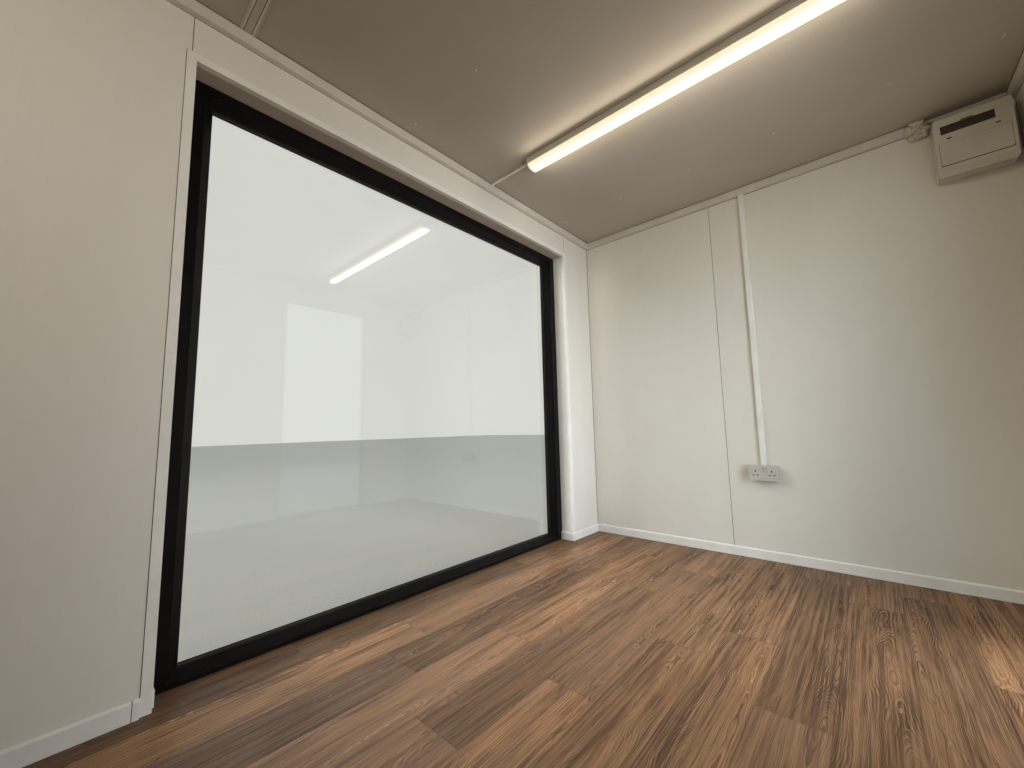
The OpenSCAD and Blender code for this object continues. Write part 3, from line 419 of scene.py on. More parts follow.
def steel_paint(name, wear_box, light=paint(216, 207, 184), shade=paint(204, 195, 171),
                foot=0.0, dirt=0.55):
    """Satin paint on pressed steel: peel, rain runs, splashed dirt, and edges worn to rust."""

    def lay(w, place):
        skin = w.use(SPRAYED_PAINT, {"Place": place})
        grime = w.use(RAIN_AND_DIRT, {"Place": place, "Foot": foot, "Reach": 0.55, "Amount": dirt})
        base = w.blend(w.between(skin["Tone"], 0.3, 0.7), light, shade)
        colour = w.blend(w.times(grime["Mask"], 0.5), base, paint(126, 112, 90))
        rough = w.plus(0.42, w.times(grime["Mask"], 0.3))
        height = skin["Height"]
        if wear_box:
            sided = w.vector("ABSOLUTE", place)
            worn = w.use(EDGE_WEAR, {"Place": sided, "Width": 0.010, **wear_box})["Mask"]
            rust = w.blend(w.grain(place, 70.0, 4.0, 0.6), paint(118, 66, 38), paint(74, 58, 50))
            colour = w.blend(worn, colour, rust)
            rough = w.plus(rough, w.times(worn, 0.25))
            height = w.minus(height, w.times(worn, 0.8))
        return {"Base Color": colour, "Roughness": rough, "Height": (height, 0.0003, 0.5)}

    return finish(name, lay)


def lay_galvanised(w, place):
    spangle = w.add("TexVoronoi", {"Vector": place, "Scale": 140.0}, feature="F1").outputs["Color"]
    tone = w.parts(spangle)[0]
    brushed = w.grain(w.stretch(place, 60.0, 60.0, 900.0), 1.0, 2.0)
    base = w.blend(w.times(tone, 0.6), paint(150, 152, 154), paint(186, 187, 188))
    rough = w.plus(0.30, w.times(brushed, 0.18))
    return {"Base Color": base, "Roughness": rough, "Height": (brushed, 0.00008, 0.4)}


def lay_brushed_steel(w, place):
    lines = w.grain(w.stretch(place, 40.0, 40.0, 1400.0), 1.0, 3.0, 0.6)
    marks = w.use(HANDLING_MARKS, {"Place": place})
    base = w.blend(lines, paint(176, 176, 174), paint(206, 206, 203))
    rough = w.plus(w.times(lines, 0.12), w.plus(0.22, w.times(marks["Smears"], 0.12)))
    return {"Base Color": base, "Roughness": rough, "Height": (lines, 0.00005, 0.35)}


def lay_ribbed_threshold(w, place):
    ribs = w.maths("SINE", w.times(w.parts(place)[1], 2 * math.pi / 0.006))
    scuffs = w.grain(w.stretch(place, 18.0, 160.0, 10.0), 1.0, 4.0, 0.6)
    base = w.blend(w.between(scuffs, 0.35, 0.7), paint(168, 168, 165), paint(128, 124, 116))
    rough = w.between(scuffs, 0.3, 0.7, 0.32, 0.55)
    return {"Base Color": base, "Roughness": rough, "Height": (ribs, 0.0006, 0.6)}


def timber(name, light, dark, ring_gap, plies=False):
    """Sawn softwood or plywood: grain along Y for the battens, along X for the plies."""

    def lay(w, place):
        x, y, z = w.parts(place)
        board = w.maths("FLOOR", w.maths("DIVIDE", x, 1.22 if plies else 0.66))
        seed = w.chance(w.join(board, 2.0, 7.0))["Color"]
        along, across = (x, y) if plies else (y, w.plus(x, z))
        wood = w.use(OAK_FIGURE, {"Along": along, "Across": across, "Seed": seed, "Ring Gap": ring_gap})
        colour = w.blend(w.times(wood["Rings"], 0.7), light, dark)
        colour = w.blend(w.times(wood["Pores"], 0.25), colour, dark)
        if plies:
            layers = w.maths("FRACT", w.maths("DIVIDE", z, 0.004))
            colour = w.blend(w.between(layers, 0.45, 0.55, 0.0, 0.18), colour, dark)
        return {"Base Color": colour, "Height": (wood["Rings"], 0.0003, 0.4)}

    return finish(name, lay, roughness=0.72)


def lay_spacer(w, place):
    """Dull metal between the panes, with its row of small holes painted in as dark dots of shade."""
    x, _, z = w.parts(place)
    holes = w.maths("SINE", w.times(w.plus(x, z), 2 * math.pi / 0.004))
    # Painted shade: the holes show as near black dots.
    base = w.blend(w.between(holes, 0.6, 0.9), paint(46, 46, 48), paint(14, 14, 15))
    return {"Base Color": base, "Roughness": w.between(holes, 0.6, 0.9, 0.5, 0.8)}


def lay_rubber(w, place):
    bloom = w.grain(place, 60.0, 4.0, 0.6)
    base = w.blend(w.between(bloom, 0.4, 0.75), paint(16, 16, 17), paint(38, 37, 36))
    return {"Base Color": base, "Roughness": w.between(bloom, 0.3, 0.7, 0.55, 0.75),
            "Height": (bloom, 0.0001, 0.4)}


def lay_joint_shadow(w, place):
    """Painted shade with a little dust: what shows in a hairline joint, and along edges where parts
    meet.
    """
    dust = w.grain(place, 35.0, 3.0, 0.6)
    return {"Base Color": w.blend(w.between(dust, 0.35, 0.7), paint(84, 76, 62), paint(102, 93, 77))}


def lay_painted_hollow_shade(w, place):
    # Painted shade: near black with a little dust, put in holes, slots and recesses.
    dust = w.grain(place, 400.0, 2.0)
    return {"Base Color": w.blend(w.between(dust, 0.4, 0.7), paint(18, 16, 14), paint(34, 30, 26))}


def lay_crumpled_film(w, place):
    """Milky stretch film wound round a cable bundle, with fine tight creases."""
    creases = w.grain(place, 120.0, 5.0, 0.6, 1.2)
    folds = w.maths("ABSOLUTE", w.minus(w.grain(place, 46.0, 3.0, 0.55, 0.8), 0.5))
    base = w.blend(w.between(folds, 0.0, 0.16), paint(206, 199, 184), paint(184, 175, 157))
    rough = w.between(creases, 0.3, 0.7, 0.22, 0.42)
    height = w.plus(w.times(folds, 1.2), w.times(creases, 0.3))
    return {"Base Color": base, "Roughness": rough, "Height": (height, 0.0022, 0.6)}


def lay_smoked_window(w, place):
    marks = w.use(HANDLING_MARKS, {"Place": place})
    base = w.blend(w.times(marks["Smears"], 0.3), paint(52, 47, 38), paint(64, 58, 48))
    return {"Base Color": base, "Roughness": w.plus(0.10, w.times(marks["Smears"], 0.1))}


def lay_opal_glow(w, place):
    """Opal plastic lit from behind, warmer and dimmer at its sides. It shows as less than it gives."""
    fine = w.grain(w.stretch(place, 700.0, 3.0, 700.0), 1.0, 2.0)
    depth = w.between(w.parts(place)[2], CEILING_Z - 0.061, CEILING_Z - 0.050)
    glow = w.blend(depth, (1.0, 0.95, 0.82, 1.0), (0.16, 0.138, 0.092, 1.0))
    seen = w.blend(depth, (0.120, 0.117, 0.099, 1.0), (0.102, 0.092, 0.066, 1.0))
    glow = w.blend(w.add("LightPath", {}).outputs["Is Camera Ray"], glow, seen)
    base = w.blend(w.between(fine, 0.3, 0.7), paint(250, 247, 236), paint(243, 239, 225))
    return {"Base Color": base, "Emission Color": glow, "Height": (fine, 0.00006, 0.3)}


def pane_glass():
    """Clear float glass. Rays from lamps and soft bounces go straight through it."""

    def lay(w, place):
        film = w.grain(place, 2.2, 4.0, 0.6)
        tint = w.blend(w.between(film, 0.35, 0.7), (0.965, 0.985, 0.975, 1.0),
                       (0.955, 0.978, 0.968, 1.0))
        return {"Base Color": tint, "Roughness": w.between(film, 0.4, 0.8, 0.0, 0.012)}

    material = finish("pane_glass", lay, roughness=0.0, ior=1.48, transmission_weight=1.0)
    w = Wiring(material.node_tree)
    shader = material.node_tree.nodes["Principled BSDF"]
    clear = w.add("BsdfTransparent", {0: (0.93, 0.95, 0.94, 1.0)})
    path = w.add("LightPath", {}).outputs
    straight = w.maths("MAXIMUM", path["Is Shadow Ray"], path["Is Diffuse Ray"])
    mixed = w.add("MixShader", {0: straight, 1: shader.outputs[0], 2: clear.outputs[0]})
    w.feed(material.node_tree.nodes["Material Output"].inputs["Surface"], mixed.outputs[0])
    return material


CASTING_BOX = {"Middle": (0, 0, (cad_low.z + cad_high.z) / 2),
               "Half Size": (HALF_LENGTH, HALF_WIDTH, (cad_high.z - cad_low.z) / 2)}
DULL_TRIM = moulded_white("trunking_white", paint(208, 203, 193), paint(200, 195, 184), 0.38)
# The joint strips' own grey; on the recess head board it is painted shade.
GREY_STRIP_AND_SHADE = moulded_white("joint_strip_grey_and_head_shade", paint(188, 179, 166), paint(180, 171, 157), 0.42)
RUBBER = finish("black_rubber", lay_rubber)
SHADOW = finish("joint_shadow", lay_joint_shadow, roughness=0.9)
HOLLOW_SHADE = finish("painted_hollow_shade", lay_painted_hollow_shade, roughness=0.85)
TAB_GREY = moulded_white("window_tab_grey", paint(96, 88, 72), paint(84, 77, 62), 0.4)
SMOKED = finish("smoked_plastic", lay_smoked_window, coat_weight=0.5, coat_roughness=0.05)
FINISHES = {
    "steel_paint": steel_paint("cabin_cream_paint", CASTING_BOX, foot=0.1),
    "underframe_paint": steel_paint("underframe_paint", CASTING_BOX, paint(58, 58, 58),
                                    paint(46, 45, 44), dirt=0.9),
    "plywood": timber("floor_plywood", paint(190, 154, 112), paint(140, 102, 66), 0.010, True),
    "plank_vinyl": finish("oak_plank_vinyl", lay_vinyl_planks, specular_ior_level=0.35),
    "wall_board": finish("vinyl_faced_board", lay_wall_board),
    "sawn_timber": timber("sawn_softwood", paint(206, 172, 126), paint(160, 118, 76), 0.006),
    "ceiling_board": finish("ceiling_board", lay_ceiling_board, roughness=0.62),
    "white_trim": moulded_white("white_trim", paint(232, 230, 223), paint(224, 221, 213), 0.30),
    "black_frame": finish("black_powder_coat", lay_black_powder_coat, specular_ior_level=0.2),
    "clear_glass": pane_glass(),
    "dark_spacer": finish("dark_spacer", lay_spacer),
    # Painted shade: the socket white is darker than the wall board, for the slight shade the plate
    # stands in.
    "socket_white": moulded_white("socket_white", paint(192, 187, 178), paint(184, 178, 168), 0.34,
                                  0.15),
    "light_metal": moulded_white("light_enamel", paint(238, 234, 222), paint(232, 228, 215), 0.34),
    "light_diffuser": finish("opal_glow", lay_opal_glow, roughness=0.35, emission_strength=7.0),
    "unit_white": moulded_white("unit_moulding", paint(200, 194, 180), paint(192, 185, 171), 0.36, 0.1),
    "breaker_grey": moulded_white("breaker_body", paint(88, 86, 80), paint(72, 70, 65), 0.4),
    "white_tape": finish("crumpled_film", lay_crumpled_film, coat_weight=0.4, coat_roughness=0.15,
                         subsurface_weight=0.15),
    "door_paint": steel_paint("door_paint", None, paint(220, 214, 198), paint(212, 205, 188),
                              foot=0.15, dirt=0.35),
    "threshold_metal": finish("ribbed_threshold", lay_ribbed_threshold, metallic=1.0),
    "hinge_steel": finish("galvanised_steel", lay_galvanised, metallic=1.0),
    "handle_metal": finish("brushed_steel", lay_brushed_steel, metallic=1.0),
}
SLOT_OF = {part["node"]: part["material_slot"] for part in frame["record"]["subparts"]}


def dress_solids():
    """Gives each solid the finish of its own slot."""
    for node, solid in frame["nodes"].items():
        solid.data.materials.clear()
        solid.data.materials.append(FINISHES[SLOT_OF[node]])


# Piece making


def piece(name, form, slot, look=None, body="cabin", sharp=35):
    """A finished object from its mesh: shaded smooth between its sharp edges, riding a body.

    Bevels can leave the faces in another order each run, so they are put in one order.
    """
    bmesh.ops.recalc_face_normals(form, faces=form.faces)
    form.verts.index_update()
    count = len(form.verts)
    form.faces.sort(key=lambda face: face.verts[0].index * count + face.verts[1].index)
    for face in form.faces:
        face.smooth = True
    for edge in form.edges:
        edge.smooth = len(edge.link_faces) == 2 and edge.calc_face_angle() < math.radians(sharp)
    mesh = bpy.data.meshes.new(name)
    form.to_mesh(mesh)
    form.free()
    mesh.materials.append(look or FINISHES[slot])
    made = bpy.data.objects.new(name, mesh)
    bpy.context.scene.collection.objects.link(made)
    made.modifiers.new("even_shading", "WEIGHTED_NORMAL").keep_sharp = True
    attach(made, body)
    return made


def lofted(form, sections, closed=False):
    """Joins like sections one after another: a bar with closed ends, or a ring."""
    loops = []
    for section in sections:
        corners = [form.verts.new(point) for point in section]
        loops.append([form.edges.new(pair) for pair in zip(corners, corners[1:] + corners[:1])])
    following = loops[1:] + loops[:1] if closed else loops[1:]
    for one, two in zip(loops, following):
        bmesh.ops.bridge_loops(form, edges=one + two)
    if not closed:
        for loop in (loops[0], loops[-1]):
            bmesh.ops.contextual_create(form, geom=loop)


def bevelled(form, radius, segments=2, bends=(30, 180), least=0.0, chosen=None):
    """Rounds the edges whose faces turn by an angle in the range, in degrees."""
    low, high = (math.radians(b) for b in bends)
    edges = [e for e in form.edges
             if len(e.link_faces) == 2 and low <= e.calc_face_angle() <= high
             and e.calc_length() > least and (chosen is None or chosen(e))]
    bmesh.ops.bevel(form, geom=edges, offset=radius, offset_type="OFFSET", segments=segments,
                    profile=0.5, affect="EDGES", clamp_overlap=True, material=-1)


def copy_of(node):
    """The CAD node's mesh, joined up and with its flat faces whole."""
    form = bmesh.new()
    form.from_mesh(frame["nodes"][node].data)
    bmesh.ops.remove_doubles(form, verts=form.verts, dist=0.00002)
    bmesh.ops.dissolve_limit(form, angle_limit=math.radians(0.5), verts=form.verts, edges=form.edges)
    return form


def softened(node, radius, look=None, **how):
    """Stands in for a CAD node with the same form, its edges rounded as the real ones are."""
    form = copy_of(node)
    bevelled(form, radius, **how)
    body = frame["nodes"][node]["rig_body"]
    made = piece(node + "_formed", form, SLOT_OF[node], look, body)
    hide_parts(node)
    return made


def block(form, low, high, radius=0.0, segments=2):
    """A block with rounded edges between two corners, added to a mesh."""
    low, high = Vector(low), Vector(high)
    size = Vector([abs(s) for s in high - low])
    solid = bmesh.new()
    bmesh.ops.create_cube(solid, size=1.0,
                          matrix=Matrix.Translation((low + high) / 2) @ Matrix.Diagonal((*size, 1)))
    if radius:
        bevelled(solid, radius, segments)
    add(form, solid)


def add(form, solid):
    """Adds one mesh to another."""
    held = bpy.data.meshes.new("held")
    solid.to_mesh(held)
    solid.free()
    form.from_mesh(held)
    bpy.data.meshes.remove(held)


def circle(centre, radius, across, up, steps):
    """Points round a circle that lies on two directions."""
    turns = [2 * math.pi * k / steps for k in range(steps)]
    return [centre + radius * (math.cos(t) * across + math.sin(t) * up) for t in turns]


def turned(form, centre, out, profile, steps):
    """A turned solid along out, from (rise, radius) points."""
    out = Vector(out).normalized()
    across = out.orthogonal().normalized()
    up = out.cross(across)
    lofted(form, [circle(Vector(centre) + out * rise, radius, across, up, steps)
                  for rise, radius in profile])


def rounded_outline(half_u, half_v, radius):
    """Points round a rectangle with round corners, about its own middle."""
    steps = 6
    points = []
    for k, (su, sv) in enumerate(((1, 1), (-1, 1), (-1, -1), (1, -1))):
        for step in range(steps + 1):
            t = math.pi / 2 * (k + step / steps)
            points.append((su * (half_u - radius) + radius * math.cos(t),
                           sv * (half_v - radius) + radius * math.sin(t)))
    return points


def moulding(form, profile, low, high):
    """A mitred moulding round an upright rectangle along X, from (inset, depth) points."""
    signs = ((1, 1, low[0], low[1]), (-1, 1, high[0], low[1]),
             (-1, -1, high[0], high[1]), (1, -1, low[0], high[1]))
    lofted(form, [[(x + side * inset, depth, z + end * inset) for inset, depth in profile]
                  for side, end, x, z in signs], closed=True)


# Outside: the steel module, its pressed walls and roof, and the window surround


def steel_module():
    """The steel with its edges rounded: tighter on the rolled bars, softer on the pressed sheets."""
    for node, radius in (("corner_posts", 0.004), ("top_rails", 0.004), ("base_rails", 0.004),
                         ("window_surround_jambs", 0.003), ("window_surround_rails", 0.003),
                         ("floor_cross_members", 0.003)):
        softened(node, radius)
    softened("corner_castings", 0.005, least=0.02)
    for node in ("window_wall_cladding", "door_wall_cladding", "header_cladding",
                 "end_wall_cladding"):
        softened(node, 0.006, bends=(12, 80), segments=3)
    softened("roof_sheet", 0.005, bends=(12, 80))


# Room: trunking, skirting, angles and caps


TRUNKING_DEPTH = 0.025
SLIM_SIZE = (0.014, 0.020)
SHADOW_GAP = 0.0014
END_JOINT_Y = -0.185
HAIRLINE = 0.0022
PROUD = 0.0003


def trunking_section(depth, height):
    """Out from the wall and down from the ceiling, with the lid's two fine grooves."""
    lip, cut = 0.0042, 0.0009
    edges = (lip, height - lip)
    front = []
    for drop in edges:
        front += [(depth, drop - cut), (depth - cut, drop), (depth, drop + cut)]
    return [(0, SHADOW_GAP), (depth - 0.0015, SHADOW_GAP), (depth, SHADOW_GAP + 0.0015), *front,
            (depth, height - 0.0015), (depth - 0.0015, height), (0, height)]


def trunking_run(form, start, end, inward, size, mitres=(1, 1)):
    """One straight run along a wall, mitred at the ends that ask for it."""
    start, end, inward = Vector(start), Vector(end), Vector(inward)
    along = (end - start).normalized()
    profile = trunking_section(*size)
    lofted(form, [
        [corner + inward * out + along * (out * mitre) - Vector((0, 0, drop)) for out, drop in profile]
        for corner, mitre in ((start, mitres[0]), (end, -mitres[1]))])


def ceiling_trunking():
    height = CEILING_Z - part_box("ceiling_trunking_sides")[0].z
    size = (TRUNKING_DEPTH, height)
    entry_low, entry_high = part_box("taped_cable_entry")
    x, y, z = -END_WALL_X, WALL_Y, CEILING_Z
    sides = bmesh.new()
    trunking_run(sides, (-x, -y, z), (x, -y, z), (0, 1, 0), size)
    trunking_run(sides, (x, y, z), (-x, y, z), (0, -1, 0), size)
    made = piece("ceiling_trunking_long_runs", sides, "white_trim", DULL_TRIM)
    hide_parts("ceiling_trunking_sides")
    ends = bmesh.new()
    trunking_run(ends, (x, -y, z), (x, y, z), (-1, 0, 0), size)
    trunking_run(ends, (-x, entry_low.y + 0.015, z), (-x, -y, z), (1, 0, 0), size, (0, 1))
    trunking_run(ends, (-x, y - TRUNKING_DEPTH, z), (-x, entry_high.y - 0.02, z), (1, 0, 0),
                 SLIM_SIZE, (0, 0))
    made = piece("ceiling_trunking_short_runs", ends, "white_trim", DULL_TRIM)
    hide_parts("ceiling_trunking_ends")


def lidded_bar(form, centre, width, depth, start, end, place):
    """Small trunking: a base with rounded lid shoulders and a fine groove down each side."""
    half, cut, lid = width / 2, 0.0008, depth * 0.42
    side = [(half, 0.0), (half, lid - cut), (half - cut, lid), (half, lid + cut),
            (half, depth - 0.0018), (half - 0.0006, depth - 0.0006), (half - 0.0018, depth)]
    profile = side + [(-u, v) for u, v in reversed(side)]
    lofted(form, [[place(centre + u, v, along) for u, v in profile] for along in (start, end)])


def small_trunking():
    low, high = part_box("cable_trunking")
    lights_low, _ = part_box("light_bodies")
    feed_width, feed_depth, drop_depth = 0.016, 0.010, 0.016
    drop_width = 0.028
    drop_y = high.y - drop_width / 2
    drop_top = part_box("ceiling_trunking_ends")[0].z
    form = bmesh.new()
    for x in (-LIGHT_X, LIGHT_X):
        lidded_bar(form, x, feed_width, feed_depth, low.y, lights_low.y + 0.003,
                   lambda u, v, along: Vector((u, along, CEILING_Z - v)))
    lidded_bar(form, drop_y, drop_width, drop_depth, low.z, drop_top,
               lambda u, v, along: Vector((END_WALL_X + v, u, along)))
    made = piece("small_trunking", form, "white_trim")
    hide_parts("cable_trunking")


def screw_caps():
    """Domed caps over the ceiling screws, in rows across the cabin."""
    rows = (0.44, 1.74, 4.10, 5.40)
    places = (0.10, 0.53, 0.96, 1.385, 1.82, 2.15)
    form = bmesh.new()
    for row in rows:
        for place in places:
            centre = Vector((END_WALL_X + row, -WALL_Y + place, CEILING_Z))
            turned(form, centre, (0, 0, -1),
                   [(0, 0.0060), (0.0008, 0.0060), (0.0018, 0.0045), (0.0022, 0.0018)], 20)
    piece("ceiling_screw_caps", form, "white_trim", DULL_TRIM)


def shadow_joints():
    """The hairlines between boards and trims, and painted shade along the trunking and down the corners,
    as dark strips a fraction of a millimetre proud.
    """
    top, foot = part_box("ceiling_trunking_sides")[0].z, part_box("skirting_ends")[1].z
    form = bmesh.new()
    long_wall_shade_lines(form, foot, top)
    end_wall_shade_and_joint(form, foot, top)
    window_angle_shade_and_joints(form, foot, top)
    piece("joint_and_contact_shadows", form, "wall_board", SHADOW)


def long_wall_shade_lines(form, foot, top):
    """Painted shade above and below the long trunking runs, and up the four corners of the room."""
    x, y = -END_WALL_X, WALL_Y
    inner, under = y - TRUNKING_DEPTH, HAIRLINE * 0.7
    for side in (-1, 1):
        block(form, (-x, side * inner, CEILING_Z - PROUD), (x, side * (inner - HAIRLINE), CEILING_Z))
        block(form, (-x, side * y, top - under), (x, side * (y - PROUD), top))
        for end in (-1, 1):
            block(form, (end * x, side * y, foot), (end * (x - PROUD), side * (y - HAIRLINE), top))
            block(form, (end * x, side * y, foot), (end * (x - HAIRLINE), side * (y - PROUD), top))


def end_wall_shade_and_joint(form, foot, top):
    """Painted shade along the trunking on the end walls, thick and slim, and the dark line down their
    board joint.
    """
    x, y = -END_WALL_X, WALL_Y
    slim_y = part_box("taped_cable_entry")[1].y
    slim_depth, slim_height = SLIM_SIZE
    under = HAIRLINE * 1.2
    for end, start, reach, depth, drop in ((1, -y, y, TRUNKING_DEPTH, top),
                                           (-1, -y, slim_y, TRUNKING_DEPTH, top),
                                           (-1, slim_y, y, slim_depth, CEILING_Z - slim_height)):
        out = end * (x - depth)
        block(form, (out, start, CEILING_Z - PROUD), (out - end * HAIRLINE, reach, CEILING_Z))
        block(form, (end * x, start, drop - under), (end * (x - PROUD), reach, drop))
    half = 0.0013
    for end in (-1, 1):
        block(form, (end * x, END_JOINT_Y - half, foot), (end * (x - PROUD), END_JOINT_Y + half, top))


def window_angle_shade_and_joints(form, foot, top):
    """Painted shade beside the window's corner angles, and the joint over them where the header's boards
    meet the wall's.
    """
    low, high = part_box("corner_angles")
    inset, below_skirting = 0.0135, 0.055
    for edge, side in ((low.x, 1), (high.x, -1)):
        line = edge + side * inset
        block(form, (line - HAIRLINE / 2, -WALL_Y, high.z), (line + HAIRLINE / 2, PROUD - WALL_Y, top))
        # Painted shade along each angle's outer edge.
        outer = edge - side * HAIRLINE * 0.75
        block(form, (edge, -WALL_Y, foot - below_skirting), (outer, 2 * PROUD - WALL_Y, high.z))


def room_trim():
    for node, radius in (("skirting_sides", 0.0012), ("skirting_ends", 0.0012),
                         ("corner_angles", 0.0007)):
        softened(node, radius)
    ribbed_joint_strips()
    softened("recess_jamb_boards", 0.0010)
    # Painted shade: the white head board takes the joint strips' darker grey, for the shade it stands
    # in.
    softened("recess_head_board", 0.0010, GREY_STRIP_AND_SHADE)


def ribbed_joint_strips():
    """The cover strips over the ceiling joints, with a raised rib along both edges and a dark line of
    painted shade inside each rib.
    """
    form = copy_of("ceiling_joint_strips")
    bevelled(form, 0.0012)
    made = piece("ceiling_joint_covers", form, "white_trim", GREY_STRIP_AND_SHADE)
    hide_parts("ceiling_joint_strips")
    half, margin, rib, groove = 0.027, 0.010, 0.00325, 0.0011
    rib_depth, groove_depth, sunk = 0.0016, 0.0003, 0.001
    reach = WALL_Y - TRUNKING_DEPTH - 0.001
    low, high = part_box("ceiling_joint_strips")
    ribs, grooves = bmesh.new(), bmesh.new()
    for x in (low.x + half, high.x - half):
        for side in (-1, 1):
            edge = x + side * (half - margin)
            block(ribs, (edge - rib, -reach, low.z - rib_depth), (edge + rib, reach, low.z + sunk),
                  0.0012)
            # Painted shade: a dark strip just inside each rib.
            shade = edge - side * (rib + 0.0009)
            block(grooves, (shade - groove, -reach, low.z - groove_depth),
                  (shade + groove, reach, low.z + sunk))
    piece("ceiling_joint_ribs", ribs, "white_trim", DULL_TRIM)
    piece("ceiling_joint_groove_shades", grooves, "white_trim", SHADOW)


# Lights


LIGHT_LOW, LIGHT_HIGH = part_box("light_bodies")
CAP_HALF, LIGHT_HALF = 0.0375, 0.0365
LIGHT_X = (LIGHT_HIGH.x - LIGHT_LOW.x) / 2 - CAP_HALF


def batten_lights():
    diffuser_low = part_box("light_diffusers")[0].z
    cap, cap_drop, tucked = 0.009, 0.013, 0.001
    start, end, split = LIGHT_LOW.y + cap, LIGHT_HIGH.y - cap, LIGHT_LOW.z
    housings, caps, diffusers = bmesh.new(), bmesh.new(), bmesh.new()
    for x in (-LIGHT_X, LIGHT_X):
        grooved_housing(housings, x, start, end, split, LIGHT_HIGH.z)
        for y in (LIGHT_LOW.y, end):
            end_cap(caps, x, y, y + cap, split - cap_drop, LIGHT_HIGH.z)
        opal_diffuser(diffusers, x, start - tucked, end + tucked, diffuser_low, split)
    body = piece("light_housings", housings, "light_metal")
    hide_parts("light_bodies")
    piece("light_end_caps", caps, "light_metal")
    opal = piece("light_opal_covers", diffusers, "light_diffuser")
    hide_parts("light_diffusers")


def grooved_housing(form, x, y0, y1, z0, z1):
    """The metal body over the opal cover, with long grooves down both sides."""
    grooves, margin, cut = 3, 0.004, 0.0012
    pitch = (z1 - z0 - 2 * margin) / grooves
    side = [(LIGHT_HALF, z1)]
    for k in range(grooves):
        top = z1 - margin - k * pitch
        foot = top - pitch * 0.42
        side += [(LIGHT_HALF, top), (LIGHT_HALF - cut, top - cut / 2),
                 (LIGHT_HALF - cut, foot), (LIGHT_HALF, foot - cut / 2)]
    side.append((LIGHT_HALF, z0))
    profile = side + [(-u, z) for u, z in reversed(side)]
    lofted(form, [[(x + u, y, z) for u, z in profile] for y in (y0, y1)])


def end_cap(form, x, y0, y1, z0, z1):
    """A moulded end with round lower corners."""
    solid = bmesh.new()
    height, radius = (z1 - z0) / 2, 0.010
    outline = [(x + u, max(v, -height) + z0 + height)
               for u, v in rounded_outline(CAP_HALF, height, radius)]
    outline = [(u, z1 if v > z1 - radius - 0.0001 else v) for u, v in outline]
    lofted(solid, [[(u, y, v) for u, v in outline] for y in (y0, y1)])
    bmesh.ops.remove_doubles(solid, verts=solid.verts, dist=0.0001)
    bevelled(solid, 0.0012, bends=(60, 120))
    add(form, solid)


def opal_diffuser(form, x, y0, y1, z0, z1):
    """The lit cover: soft lower corners along it, and its ends rounded off."""
    steps, reach, section_steps = 8, 0.012, 12
    half_width, drawn_in = 0.034, 0.004
    height = z1 - z0
    half_section = []
    for k in range(section_steps + 1):
        t = math.pi / 2 * k / section_steps
        half_section.append((math.cos(t) ** 0.55, math.sin(t) ** 0.8))
    sections = []
    ends = [(y0, 1, range(steps + 1)), (y1, -1, range(steps, -1, -1))]
    for y, sign, order in ends:
        for k in order:
            t = math.pi / 2 * k / steps
            depth = height - reach * (1 - math.sin(t))
            half = half_width - drawn_in * (1 - math.sin(t))
            section = [(u * half, v * depth) for u, v in half_section]
            section += [(-u, v) for u, v in reversed(section[:-1])]
            along = y + sign * reach * (1 - math.cos(t))
            sections.append([(x + u, along, z1 - v) for u, v in section])
    lofted(form, sections)


# Socket


OUTLET_SPREAD = 0.041
SCREW_SPREAD = 0.0603
ROCKER_GAP = 0.0009


def wall_socket():
    softened("socket_box", 0.0016)
    softened("socket_plate", 0.0012, least=0.0060, bends=(60, 120))
    softened("socket_rockers", 0.0012)
    low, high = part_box("socket_plate")
    middle = (low + high) / 2
    screws, hole_shades = bmesh.new(), bmesh.new()
    for side in (-1, 1):
        place = Vector((high.x - 0.0004, middle.y + side * SCREW_SPREAD, middle.z))
        turned(screws, place, (1, 0, 0), [(0, 0.0034), (0.0006, 0.0034), (0.0011, 0.0022)], 20)
        pin_hole_shades(hole_shades, high.x, middle.y + side * OUTLET_SPREAD, middle.z)
    rocker_low, rocker_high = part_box("socket_rockers")
    # Painted shade round each rocker: a dark block a little larger than the rocker, behind it.
    apart = 0.0025
    for start, end in ((rocker_low.y, middle.y - apart), (middle.y + apart, rocker_high.y)):
        block(hole_shades, (high.x - 0.003, start - ROCKER_GAP, rocker_low.z - ROCKER_GAP),
              (high.x + 0.0002, end + ROCKER_GAP, rocker_high.z + ROCKER_GAP))
    piece("socket_screws", screws, "hinge_steel")
    piece("socket_pin_hole_shades", hole_shades, "breaker_grey", HOLLOW_SHADE)


def pin_hole_shades(form, front, y, z):
    """Painted shade in the earth slot above and the two pin slots below it, as dark blocks in the holes.
    """
    drop = 0.0111
    for across, up, half_y, half_z in ((0, drop, 0.0030, 0.0052), (-drop, -drop, 0.0043, 0.0030),
                                       (drop, -drop, 0.0043, 0.0030)):
        block(form, (front - 0.004, y + across - half_y, z + up - half_z),
              (front + 0.0002, y + across + half_y, z + up + half_z))


# Consumer unit


def plate_form(centre_y, centre_z, half_y, half_z, radius, back, front, edge=0.0):
    """A plate on the end wall with round corners, and its front edge softened."""
    solid = bmesh.new()
    outline = rounded_outline(half_y, half_z, radius)
    lofted(solid, [[(x, centre_y + u, centre_z + v) for u, v in outline] for x in (back, front)])
    if edge:
        bevelled(solid, edge, 3, (60, 120), chosen=lambda e: all(v.co.x > front - 1e-6 for v in e.verts))
    return solid


UNIT_LOW, UNIT_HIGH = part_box("consumer_unit_cover")
FLAP_LOW, FLAP_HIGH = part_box("consumer_unit_flap")
ROW_LOW, ROW_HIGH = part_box("breaker_row")


def consumer_unit():
    softened("consumer_unit_box", 0.0012)
    chamfered_cover()
    unit_lid()
    unit_strip()
    unit_seams_and_shade()
    breaker_switches()
    breaker_window()
    cover_screws()


